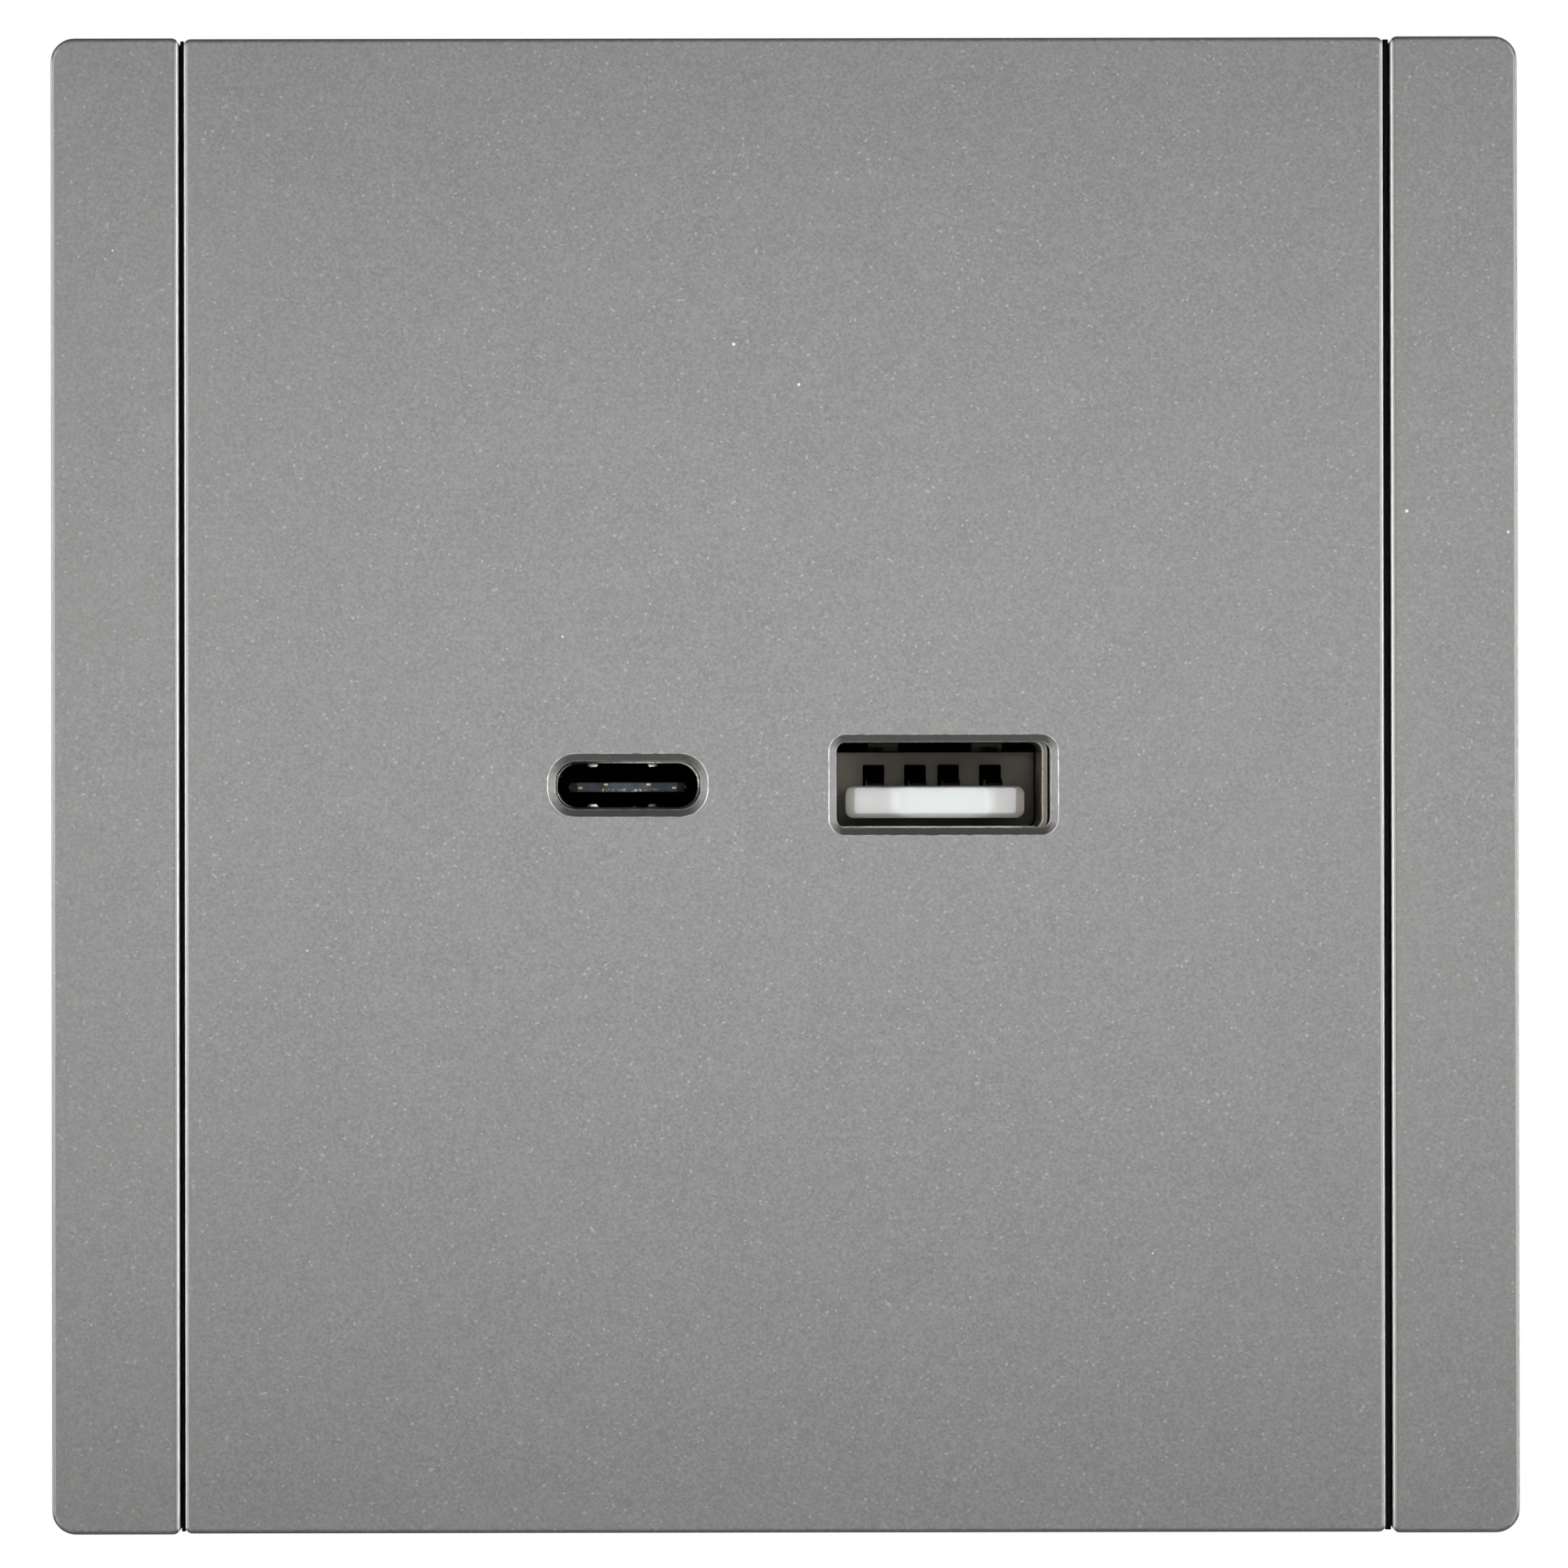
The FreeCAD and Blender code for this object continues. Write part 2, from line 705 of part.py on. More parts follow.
def rear_housing():
    """The rear half of the housing, which goes into the wall box and holds the terminals."""
    front = SUPPORT_BACK
    shell = rounded_slab(housing_width, housing_height, housing_corner, front, housing_depth)
    shell = shell.makeFillet(back_edge, edges_in_plane(shell, housing_depth))
    inside_width = housing_width - 2 * housing_wall
    inside_height = housing_height - 2 * housing_wall
    inside_back = housing_depth - housing_back_wall
    shell = shell.cut(rounded_slab(inside_width, inside_height, housing_corner - housing_wall / 2,
                                   -1, inside_back))
    adds = []
    cuts = []
    for x, z in BOSS_PLACES:
        adds.append(rod(ALONG_Y, Vec(x, front, z), boss_radius, inside_back - front))
        corner_x = math.copysign(housing_width / 2 - housing_wall, x)
        corner_z = math.copysign(housing_height / 2 - housing_wall, z)
        xs = sorted([x, corner_x])
        zs = sorted([z, corner_z])
        adds.append(block(xs[0], xs[1], front, inside_back, zs[0], zs[1]))
        radius = housing_screw_radius + thread_clearance
        cuts.append(rod(ALONG_Y, Vec(x, -1, z), radius, housing_depth))
        radius = housing_screw_head_radius + head_clearance
        cuts.append(rod(ALONG_Y, Vec(x, housing_screw_seat, z), radius, housing_depth))
    for side in (-1, 1):
        ledge_x = side * (housing_width / 2 - housing_wall - ledge_width / 2)
        low = power_board_low
        high = housing_height / 2 - boss_inset_z - boss_radius
        middle = (low + high) / 2
        adds.append(slab(ledge_width, high - low, POWER_BOARD_BACK, inside_back, ledge_x, middle))
        sheet_back = SHEET_FRONT + sheet_thick
        adds.append(slab(ledge_width, sheet_high - sheet_low, sheet_back, sheet_back + sheet_ledge,
                         ledge_x, (sheet_low + sheet_high) / 2))
    for x in TERMINAL_PLACES.values():
        adds.append(terminal_block(x))
        cuts.extend(terminal_spaces(x))
    cuts.append(rounded_slab(label_width, label_height, label_corner, housing_depth - label_drop,
                             housing_depth + 1, 0, label_height / 2))
    return joined([shell] + adds).cut(cuts)


def terminal_block(x):
    """The moulded block around one terminal."""
    width = cage_width + 2 * (cage_clearance + terminal_block_wall)
    return block(x - width / 2, x + width / 2, BAR_FRONT, housing_depth - housing_back_wall,
                 HOUSING_LOW + housing_wall / 2, CAGE_HIGH)


def terminal_spaces(x):
    """The hollows of one terminal: for the cage, the bar, the screw, the driver and the wire."""
    half = cage_width / 2 + cage_clearance
    inside_back = housing_depth - housing_back_wall
    cage_room = block(x - half, x + half, CAGE_FRONT - cage_clearance, inside_back,
                      HEAD_HIGH, CAGE_HIGH + 1)
    half_bar = bar_width / 2 + bar_clearance
    bar_room = block(x - half_bar, x + half_bar, BAR_FRONT - 1, inside_back, BAR_LOW - bar_clearance,
                     BAR_HIGH + bar_clearance)
    head_room = rod(ALONG_Z, Vec(x, CAGE_MIDDLE, HOUSING_LOW + screw_lip),
                    screw_head_radius + head_clearance, HEAD_HIGH - HOUSING_LOW - screw_lip + 0.01)
    driver = rod(ALONG_Z, Vec(x, CAGE_MIDDLE, HOUSING_LOW - 1), driver_hole, 2)
    wire = rod(ALONG_Y, Vec(x, CAGE_BACK, WIRE_MIDDLE), wire_hole / 2, housing_back_wall + 2)
    funnel = Part.makeCone(wire_hole / 2, wire_hole / 2 + wire_funnel, wire_funnel,
                           Vec(x, housing_depth - wire_funnel, WIRE_MIDDLE), ALONG_Y)
    return [cage_room, bar_room, head_room, driver, wire, funnel]


def housing_screws():
    """Four screws that join the rear housing, the support plate and the front housing."""
    screws = []
    for x, z in BOSS_PLACES:
        head = rod(ALONG_Y, Vec(x, housing_screw_seat, z), housing_screw_head_radius, housing_screw_head)
        shank = rod(ALONG_Y, Vec(x, housing_screw_seat - housing_screw_length, z),
                    housing_screw_radius, housing_screw_length)
        top = housing_screw_seat + housing_screw_head
        screws.append(joined([head, shank]).cut(cross_recess(x, z, top, housing_screw_head_radius)))
    return screws


def cross_recess(x, z, y_top, head_radius):
    """A cross recess in a screw head that faces +Y."""
    length = recess_length * head_radius
    width = recess_width * head_radius
    depth = recess_depth * head_radius
    across = slab(length, width, y_top - depth, y_top + 1, x, z)
    along = slab(width, length, y_top - depth, y_top + 1, x, z)
    return across.fuse(along)


def terminal_screw(x):
    """A terminal screw: it turns in place, with its tip on the bar and its head at the bottom."""
    head = rod(ALONG_Z, Vec(x, CAGE_MIDDLE, HEAD_LOW), screw_head_radius, screw_head)
    head = head.makeChamfer(screw_chamfer, [head.Edges[2]])
    reach = BAR_LOW - seat_clearance - HEAD_HIGH
    shank = rod(ALONG_Z, Vec(x, CAGE_MIDDLE, HEAD_HIGH), screw_radius, reach)
    screw = joined([head, shank])
    far = screw_slot_reach
    near = screw_slot / 2
    low, high = HEAD_LOW - 1, HEAD_LOW + screw_slot_depth
    slots = [
        block(x - far, x + far, CAGE_MIDDLE - near, CAGE_MIDDLE + near, low, high),
        block(x - near, x + near, CAGE_MIDDLE - far, CAGE_MIDDLE + far, low, high),
    ]
    return screw.cut(slots)


def terminal_cage(x):
    """The clamping cage: a short tube around the bar and the wire, threaded on the screw."""
    half = cage_width / 2
    body = block(x - half, x + half, CAGE_FRONT, CAGE_BACK, CAGE_LOW, CAGE_HIGH)
    along = []
    for edge in body.Edges:
        if edge.BoundBox.YLength > cage_length / 2:
            along.append(edge)
    body = body.makeFillet(0.5 * cage_side_wall, along)
    inner = half - cage_side_wall
    space = block(x - inner, x + inner, CAGE_FRONT - 1, CAGE_BACK + 1, CAGE_LOW + cage_thread_wall,
                  CAGE_HIGH - cage_far_wall)
    thread = rod(ALONG_Z, Vec(x, CAGE_MIDDLE, CAGE_LOW - 1), screw_radius + running_clearance,
                 cage_thread_wall + 2)
    return body.cut([space, thread])


def terminal_bar(x):
    """The fixed current bar of a terminal, with its tail up to the mains board."""
    half = bar_width / 2
    bar = block(x - half, x + half, BAR_FRONT, CAGE_BACK + cage_clearance, BAR_LOW, BAR_HIGH)
    tail_top = power_board_low + 2 * bar_tail
    riser = block(x - bar_tail, x + bar_tail, BAR_FRONT - bar_thick, BAR_FRONT, BAR_LOW, tail_top)
    half_pin = bar_tail / 2
    pin = block(x - half_pin, x + half_pin, BAR_FRONT - bar_thick, POWER_BOARD_BACK + pin_reach,
                tail_top - bar_tail, tail_top)
    return joined([bar, riser, pin])


def tail_hole(x):
    """The hole of a terminal's tail in the mains board."""
    top = power_board_low + 2 * bar_tail
    width = bar_tail + 2 * bar_clearance
    return slab(width, width, POWER_BOARD_FRONT - 1, POWER_BOARD_BACK + 1, x, top - bar_tail / 2)


def boss_notches(y_low, y_high):
    """The corners that a board leaves free for the screw bosses."""
    reach = boss_radius + boss_gap
    cuts = []
    for x, z in BOSS_PLACES:
        xs = sorted([x - math.copysign(reach, x), math.copysign(housing_width, x)])
        zs = sorted([z - math.copysign(reach, z), math.copysign(housing_height, z)])
        cuts.append(block(xs[0], xs[1], y_low, y_high, zs[0], zs[1]))
    return cuts


def link_places():
    """The x positions of the pins that join the two boards."""
    first = link_place[0] - (link_pins - 1) * link_pitch / 2
    return [first + count * link_pitch for count in range(link_pins)]


def link_holes():
    """The pin holes of the link, through both boards."""
    width = link_pin + 2 * bar_clearance
    return [slab(width, width, 0, housing_depth, x, link_place[1]) for x in link_places()]


def power_board():
    """The mains board with its holes and its free corners."""
    height = power_board_high - power_board_low
    middle = (power_board_high + power_board_low) / 2
    board = slab(power_board_width, height, POWER_BOARD_FRONT, POWER_BOARD_BACK, 0, middle)
    cuts = boss_notches(0, housing_depth) + link_holes()
    cuts += [tail_hole(x) for x in TERMINAL_PLACES.values()]
    return board.cut(cuts)


def port_board():
    """The board of the receptacles, with its holes for legs, pins and screws."""
    board = slab(port_board_width, port_board_height, PORT_BOARD_FRONT, PORT_BOARD_BACK)
    tab_width = link_pins * link_pitch + link_edge
    tab = block(-tab_width / 2, tab_width / 2, PORT_BOARD_FRONT, PORT_BOARD_BACK, 0, port_board_top)
    cuts = link_holes()
    for x, z in PILLAR_PLACES:
        radius = board_screw_radius + thread_clearance
        cuts.append(rod(ALONG_Y, Vec(x, 0, z), radius, housing_depth))
    cuts += receptacle_legs(seat_clearance)
    for x in A_CONTACT_PLACES:
        cuts.append(contact_tail(x, seat_clearance))
    return joined([board, tab]).cut(cuts)


def receptacle_legs(clearance):
    """The legs of both shells where they pass through the port board."""
    return shell_legs(A_MIDDLE, a_inner_width, a_shell_wall, clearance) + \
        shell_legs(C_MIDDLE, c_inner_width, c_shell_wall, clearance)


def shell_legs(middle, inner_width, wall, clearance):
    """Two legs of one shell, at its left and right wall."""
    legs = []
    for side in (-1, 1):
        x = middle + side * (inner_width / 2 + wall / 2)
        legs.append(slab(wall + 2 * clearance, leg_width + 2 * clearance, PORT_BOARD_FRONT - leg_width,
                         PORT_BOARD_FRONT + leg_reach, x, port_height))
    return legs


def shell_tube(middle, width, height, corner, wall):
    """The plain tube of a receptacle's shell."""
    outer = rounded_slab(width + 2 * wall, height + 2 * wall, corner + wall, SHELL_FRONT, PORT_BOARD_FRONT,
                         middle, port_height)
    inner = rounded_slab(width, height, corner, SHELL_FRONT - 1, PORT_BOARD_FRONT + 1, middle, port_height)
    return outer.cut(inner)


def usb_a_shell():
    """The drawn steel shell of the USB-A receptacle, with four bent springs."""
    tube = shell_tube(A_MIDDLE, a_inner_width, a_inner_height, a_shell_corner, a_shell_wall)
    cuts = []
    adds = shell_legs(A_MIDDLE, a_inner_width, a_shell_wall, 0)
    y_low = SHELL_FRONT + a_spring_start
    y_high = y_low + a_spring_length
    for side_z in (-1, 1):
        inside = port_height + side_z * a_inner_height / 2
        outside = inside + side_z * a_shell_wall
        for side_x in (-1, 1):
            x = A_MIDDLE + side_x * a_spring_place
            cuts.append(slab(a_spring_width + 2 * a_spring_slit, 2 * a_shell_wall,
                             y_low - a_spring_end_slit, y_high, x, (inside + outside) / 2))
            if side_z > 0:
                bend = side_z * a_spring_bend
                points = [
                    (y_high, outside),
                    (y_high, inside),
                    (y_low + a_spring_nose, inside - bend),
                    (y_low, inside - bend / 2),
                    (y_low, outside - bend / 2),
                    (y_low + a_spring_nose, outside - bend),
                ]
                adds.append(profile_along_x(points, x - a_spring_width / 2, x + a_spring_width / 2))
            else:
                adds.append(slab(a_spring_width, a_shell_wall, y_low, y_high, x, (inside + outside) / 2))
    return joined([tube.cut(cuts)] + adds)


def usb_a_insulator():
    """The white body of the USB-A receptacle: its base and its tongue."""
    width = a_inner_width - 2 * seat_clearance
    height = a_inner_height - 2 * seat_clearance
    base = rounded_slab(width, height, a_shell_corner, A_BASE_FRONT, PORT_BOARD_FRONT,
                        A_MIDDLE, port_height)
    relief = slab(width, 2 * a_base_relief, A_BASE_FRONT - 1, PORT_BOARD_FRONT + 1, A_MIDDLE,
                  port_height + height / 2)
    base = base.cut(relief)
    front = SHELL_FRONT + a_tongue_recess
    half = a_tongue_width / 2
    outline = [
        (A_MIDDLE - half, A_BASE_FRONT),
        (A_MIDDLE - half, front + a_tongue_bevel),
        (A_MIDDLE - half + a_tongue_bevel, front),
        (A_MIDDLE + half - a_tongue_bevel, front),
        (A_MIDDLE + half, front + a_tongue_bevel),
        (A_MIDDLE + half, A_BASE_FRONT),
    ]
    top = port_height + a_tongue_top
    tongue = rounded_slab(a_tongue_width, a_tongue_thick, a_tongue_corner, front, A_BASE_FRONT, A_MIDDLE,
                          top - a_tongue_thick / 2)
    tongue = tongue.common(profile_along_z(outline, top - a_tongue_thick, top))
    holes = []
    for x in A_CONTACT_PLACES:
        holes.append(block(x - a_contact_hole / 2, x + a_contact_hole / 2, A_BASE_FRONT - 0.001,
                           PORT_BOARD_FRONT + 1, top, top + a_contact_hole))
    return joined([base, tongue]).cut(holes)


def contact_tail(x, clearance):
    """The straight end of a USB-A contact, through the base and the port board."""
    top = port_height + a_tongue_top
    width = a_tail_width + 2 * clearance
    return block(x - width / 2, x + width / 2, PORT_BOARD_FRONT - 1, PORT_BOARD_BACK + pin_reach,
                 top - clearance, top + a_contact_thick + clearance)


def usb_a_contacts():
    """The four contacts of the USB-A receptacle, each with its raised spring."""
    contacts = []
    top = port_height + a_tongue_top
    front = SHELL_FRONT + a_tongue_recess + a_contact_start
    crest = front + a_contact_slope
    crest_end = crest + a_contact_flat
    foot = A_BASE_FRONT - a_contact_foot
    stop = PORT_BOARD_FRONT - a_contact_stop
    points = [
        (front, top),
        (front, top + a_contact_thick),
        (crest, top + a_contact_thick + a_contact_rise),
        (crest_end, top + a_contact_thick + a_contact_rise),
        (foot, top + a_contact_thick),
        (stop, top + a_contact_thick),
        (stop, top),
        (foot, top),
        (crest_end, top + a_contact_rise),
        (crest, top + a_contact_rise),
        (front + a_contact_nose, top),
    ]
    for x in A_CONTACT_PLACES:
        spring = profile_along_x(points, x - a_contact_width / 2, x + a_contact_width / 2)
        contacts.append(joined([spring, contact_tail(x, 0)]))
    return contacts


def usb_c_shell():
    """The drawn steel shell of the USB-C receptacle, with four small dimples."""
    tube = shell_tube(C_MIDDLE, c_inner_width, c_inner_height, c_inner_corner, c_shell_wall)
    adds = shell_legs(C_MIDDLE, c_inner_width, c_shell_wall, 0)
    y = SHELL_FRONT + c_dimple_depth
    for side_z in (-1, 1):
        inside = port_height + side_z * c_inner_height / 2
        for side_x in (-1, 1):
            x = C_MIDDLE + c_dimple_shift + side_x * c_dimple_place
            height = c_dimple_rise + c_shell_wall / 2
            start = Vec(x, y, inside + side_z * c_shell_wall / 2)
            adds.append(Part.makeCone(c_dimple_radius, 0.5 * c_dimple_radius, height, start,
                                      Vec(0, 0, -side_z)))
    return joined([tube] + adds)


def usb_c_insulator():
    """The black body of the USB-C receptacle: its base and its thin tongue."""
    base_front = PORT_BOARD_FRONT - c_base_depth
    width = c_inner_width - 2 * seat_clearance
    height = c_inner_height - 2 * seat_clearance
    base = rounded_slab(width, height, c_inner_corner, base_front, PORT_BOARD_FRONT,
                        C_MIDDLE, port_height)
    z = port_height + c_tongue_height
    front = SHELL_FRONT + c_tongue_recess
    tongue = slab(c_tongue_width, c_tongue_thick, front, base_front, C_MIDDLE, z)
    tongue = tongue.makeFillet(c_tongue_round, edges_in_plane(tongue, front))
    cuts = [usb_c_mid_plate()] + usb_c_contacts()
    return joined([base, tongue]).cut(cuts)


def usb_c_contacts():
    """Two rows of flat contacts, let into the tongue of the USB-C receptacle."""
    contacts = []
    z = port_height + c_tongue_height
    front = SHELL_FRONT + c_tongue_recess + c_contact_start
    first = C_MIDDLE - (c_contact_count - 1) * c_contact_pitch / 2
    for side in (-1, 1):
        for count in range(c_contact_count):
            x = first + count * c_contact_pitch
            middle = z + side * (c_tongue_thick / 2 - c_contact_thick / 2)
            contacts.append(slab(c_contact_width, c_contact_thick, front, PORT_BOARD_FRONT, x, middle))
    return contacts


def usb_c_mid_plate():
    """The steel plate in the middle of the USB-C tongue."""
    front = SHELL_FRONT + c_tongue_recess + c_plate_set_back
    back = PORT_BOARD_FRONT - c_base_depth + c_plate_hold
    z = port_height + c_tongue_height
    return slab(c_plate_width, c_plate_thick, front, back, C_MIDDLE, z)


def board_screws():
    """Four small screws that hold the port board on its pillars."""
    screws = []
    for x, z in PILLAR_PLACES:
        head = rod(ALONG_Y, Vec(x, PORT_BOARD_BACK, z), board_screw_head_radius, board_screw_head)
        start = PORT_BOARD_BACK - board_screw_length
        shank = rod(ALONG_Y, Vec(x, start, z), board_screw_radius, board_screw_length)
        top = PORT_BOARD_BACK + board_screw_head
        screws.append(joined([head, shank]).cut(cross_recess(x, z, top, board_screw_head_radius)))
    return screws


def insulation_sheet():
    """The sheet between the mains side and the port board."""
    middle = (sheet_low + sheet_high) / 2
    return slab(sheet_width, sheet_high - sheet_low, SHEET_FRONT, SHEET_FRONT + sheet_thick, 0, middle)


def core_window():
    """The depth span between the core's two yokes."""
    yoke = core_leg / 2
    return POWER_BOARD_FRONT - core_depth + yoke, POWER_BOARD_FRONT - bobbin_wall - yoke


def bobbin_tube(wall, y_low, y_high):
    """The space of the middle leg, widened by a wall on every side."""
    x, z = core_place
    return slab(core_leg + 2 * wall, core_stack + 2 * wall, y_low, y_high, x, z)


def transformer_core():
    """The ferrite core: two yokes, two outer legs and the middle leg."""
    x, z = core_place
    body = slab(core_width, core_stack, POWER_BOARD_FRONT - core_depth, POWER_BOARD_FRONT - bobbin_wall,
                x, z)
    y_low, y_high = core_window()
    window = core_width / 2 - core_leg
    windows = []
    for side in (-1, 1):
        window_x = x + side * (core_leg / 2 + window / 2)
        windows.append(slab(window, core_stack + 2, y_low, y_high, window_x, z))
    return body.cut(windows)


def transformer_bobbin():
    """The bobbin: its foot on the board and two cheeks, one at each end of the winding."""
    x, z = core_place
    y_low, y_high = core_window()
    width = core_width - core_leg - 2 * winding_clearance
    height = winding_height + 2 * bobbin_wall
    parts = [slab(width, height, y_low + winding_clearance, y_low + bobbin_wall, x, z),
             slab(width, height, y_high - bobbin_wall, y_high - winding_clearance, x, z)]
    leg = bobbin_tube(seat_clearance, y_low - 1, y_high + 1)
    parts = [cheek.cut(leg) for cheek in parts]
    for side in (-1, 1):
        low = core_stack / 2 + seat_clearance
        high = height / 2
        middle = z + side * (low + high) / 2
        parts.append(slab(width, high - low, y_high - bobbin_wall, POWER_BOARD_FRONT, x, middle))
    tube = bobbin_tube(seat_clearance + bobbin_tube_wall, y_low + winding_clearance,
                       y_high - winding_clearance)
    return joined(parts + [tube.cut(leg)])


def transformer_winding():
    """The taped winding around the middle leg, between the bobbin's cheeks."""
    x, z = core_place
    y_low, y_high = core_window()
    width = core_width - core_leg - 2 * (winding_clearance + winding_inset)
    outer = rounded_slab(width, winding_height, winding_corner, y_low + bobbin_wall, y_high - bobbin_wall,
                         x, z)
    return outer.cut(bobbin_tube(seat_clearance + bobbin_tube_wall, y_low, y_high))


def capacitors(places, radius, length):
    """Electrolytic cans that stand on the mains board, each with its crimped neck."""
    cans = []
    for x, z in places:
        top = POWER_BOARD_FRONT - length
        can = rod(ALONG_Y, Vec(x, top, z), radius, length)
        can = can.makeFillet(can_round, edges_in_plane(can, top))
        neck = Part.makeTorus(radius + can_groove_out, can_groove,
                              Vec(x, POWER_BOARD_FRONT - can_groove_height, z), ALONG_Y)
        cans.append(can.cut(neck))
    return cans


def lying_part(place, radius, length):
    """A round part that lies along X on its two bent leads."""
    x, z = place
    y = POWER_BOARD_FRONT - radius - lead_rise
    body = rod(ALONG_X, Vec(x - length / 2, y, z), radius, length)
    rims = []
    for edge in body.Edges:
        if edge.BoundBox.XLength < 1e-6:
            rims.append(edge)
    body = body.makeFillet(lying_round, rims)
    leads = []
    for side in (-1, 1):
        foot_x = x + side * (length / 2 + 2 * lead_radius)
        start = min(foot_x + side * lead_radius, x)
        leads.append(rod(ALONG_X, Vec(start, y, z), lead_radius, abs(foot_x + side * lead_radius - x)))
        leads.append(rod(ALONG_Y, Vec(foot_x, y - lead_radius, z), lead_radius,
                         POWER_BOARD_FRONT - y + lead_radius))
    return joined([body] + leads)


def disc_part(place, radius, thick):
    """A dipped disc that stands on the mains board on its two leads."""
    x, z = place
    y = POWER_BOARD_FRONT - radius - lead_rise
    body = rod(ALONG_Z, Vec(x, y, z - thick / 2), radius, thick)
    rims = []
    for edge in body.Edges:
        if edge.BoundBox.ZLength < 1e-6:
            rims.append(edge)
    body = body.makeFillet(disc_round, rims)
    leads = [rod(ALONG_Y, Vec(x + side * radius / 2, y, z), lead_radius, POWER_BOARD_FRONT - y)
             for side in (-1, 1)]
    return joined([body] + leads)


def board_block(place, width, height, depth, behind=False):
    """A moulded block on the front or the back of the mains board."""
    x, z = place
    if behind:
        return slab(width, height, POWER_BOARD_BACK, POWER_BOARD_BACK + depth, x, z)
    return slab(width, height, POWER_BOARD_FRONT - depth, POWER_BOARD_FRONT, x, z)


def input_choke():
    """A drum choke that stands on the mains board."""
    x, z = choke_place
    drum = rod(ALONG_Y, Vec(x, POWER_BOARD_FRONT - choke_length, z), choke_radius, choke_length)
    ring = Part.makeTorus(choke_radius + choke_groove_out, choke_groove,
                          Vec(x, POWER_BOARD_FRONT - choke_length / 2, z), ALONG_Y)
    return drum.cut(ring)


def board_link():
    """The moulded strip of the link and its long pins, as separate solids."""
    width = link_pins * link_pitch
    strip = slab(width, link_strip, POWER_BOARD_FRONT - link_strip, POWER_BOARD_FRONT, *link_place)
    return strip.cut([link_pin_solid(x) for x in link_places()])


def link_pin_solid(x):
    """One long pin of the link, from the port board to the mains board."""
    return slab(link_pin, link_pin, PORT_BOARD_FRONT - pin_reach, POWER_BOARD_BACK + pin_reach,
                x, link_place[1])


def charge_controller():
    """The flat chip that controls the ports."""
    x, z = charge_chip_place
    back = PORT_BOARD_BACK + charge_chip_depth
    return slab(charge_chip_size, charge_chip_size, PORT_BOARD_BACK, back, x, z)


def chip_parts():
    """Small chip parts in rows on the port board."""
    parts = []
    for column in range(chip_part_columns):
        for row in range(chip_part_rows):
            x = chip_part_place[0] + (column - (chip_part_columns - 1) / 2) * chip_part_pitch
            z = chip_part_place[1] - row * chip_part_pitch
            parts.append(slab(chip_part_width, chip_part_height, PORT_BOARD_BACK,
                              PORT_BOARD_BACK + chip_part_depth, x, z))
    return parts


PIECES = {
    "cover_plate": cover_plate(),
    "left_side_strip": side_strip(-1),
    "right_side_strip": side_strip(1),
    "frame_carrier": frame_carrier(),
    "support_plate": support_plate(),
    "front_housing": front_housing(),
    "rear_housing": rear_housing(),
    "housing_screws": housing_screws(),
    "usb_a_shell": usb_a_shell(),
    "usb_a_insulator": usb_a_insulator(),
    "usb_a_contacts": usb_a_contacts(),
    "usb_c_shell": usb_c_shell(),
    "usb_c_insulator": usb_c_insulator(),
    "usb_c_contacts": usb_c_contacts(),
    "usb_c_mid_plate": usb_c_mid_plate(),
    "port_board": port_board(),
    "board_screws": board_screws(),
    "charge_controller": charge_controller(),
    "port_chip_parts": chip_parts(),
    "insulation_sheet": insulation_sheet(),
    "power_board": power_board(),
    "board_link_strip": board_link(),
    "board_link_pins": [link_pin_solid(x) for x in link_places()],
    "transformer_core": transformer_core(),
    "transformer_bobbin": transformer_bobbin(),
    "transformer_winding": transformer_winding(),
    "input_capacitors": capacitors(input_capacitor_places, input_capacitor_radius, input_capacitor_length),
    "output_capacitors": capacitors(output_capacitor_places, output_capacitor_radius,
                                    output_capacitor_length),
    "fuse_resistor": lying_part(fuse_place, fuse_radius, fuse_length),
    "surge_disc": disc_part(disc_place, disc_radius, disc_thick),
    "safety_capacitor": disc_part(blue_disc_place, blue_disc_radius, blue_disc_thick),
    "bridge_rectifier": board_block(bridge_place, bridge_width, bridge_height, bridge_depth),
    "film_capacitor": board_block(film_place, film_width, film_height, film_depth),
    "input_choke": input_choke(),
    "switching_controller": board_block(controller_place, controller_width, controller_height,
                                        controller_depth, behind=True),
    "output_rectifier": board_block(rectifier_place, rectifier_width, rectifier_height, rectifier_depth,
                                    behind=True),
}
for pole, pole_x in TERMINAL_PLACES.items():
    PIECES[pole + "_terminal_bar"] = terminal_bar(pole_x)
    PIECES[pole + "_terminal_cage"] = terminal_cage(pole_x)
    PIECES[pole + "_terminal_screw"] = terminal_screw(pole_x)

for name, shape in PIECES.items():
    if isinstance(shape, list):
        shape = Part.makeCompound(shape)
    shape.exportStep(os.path.join("parts", name + ".step"))
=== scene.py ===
"""Looks of a flush wall socket with a USB-C and a USB-A port, around its fixed construction frame.

The script loads the frame, gives every node a finish, rebuilds the surfaces that need smooth edges,
adds the fine pieces that repeat (threads, solder joints), draws turns of wire in a material, and sets up
the camera, the lamps and the floor. All sizes are metres, in the frame's own axes.
"""
import json
import logging
import math
from dataclasses import dataclass
from enum import Enum
from functools import reduce
from typing import Any, Callable, Iterable, Optional, Sequence

import bmesh
import bpy
from mathutils import Matrix, Vector


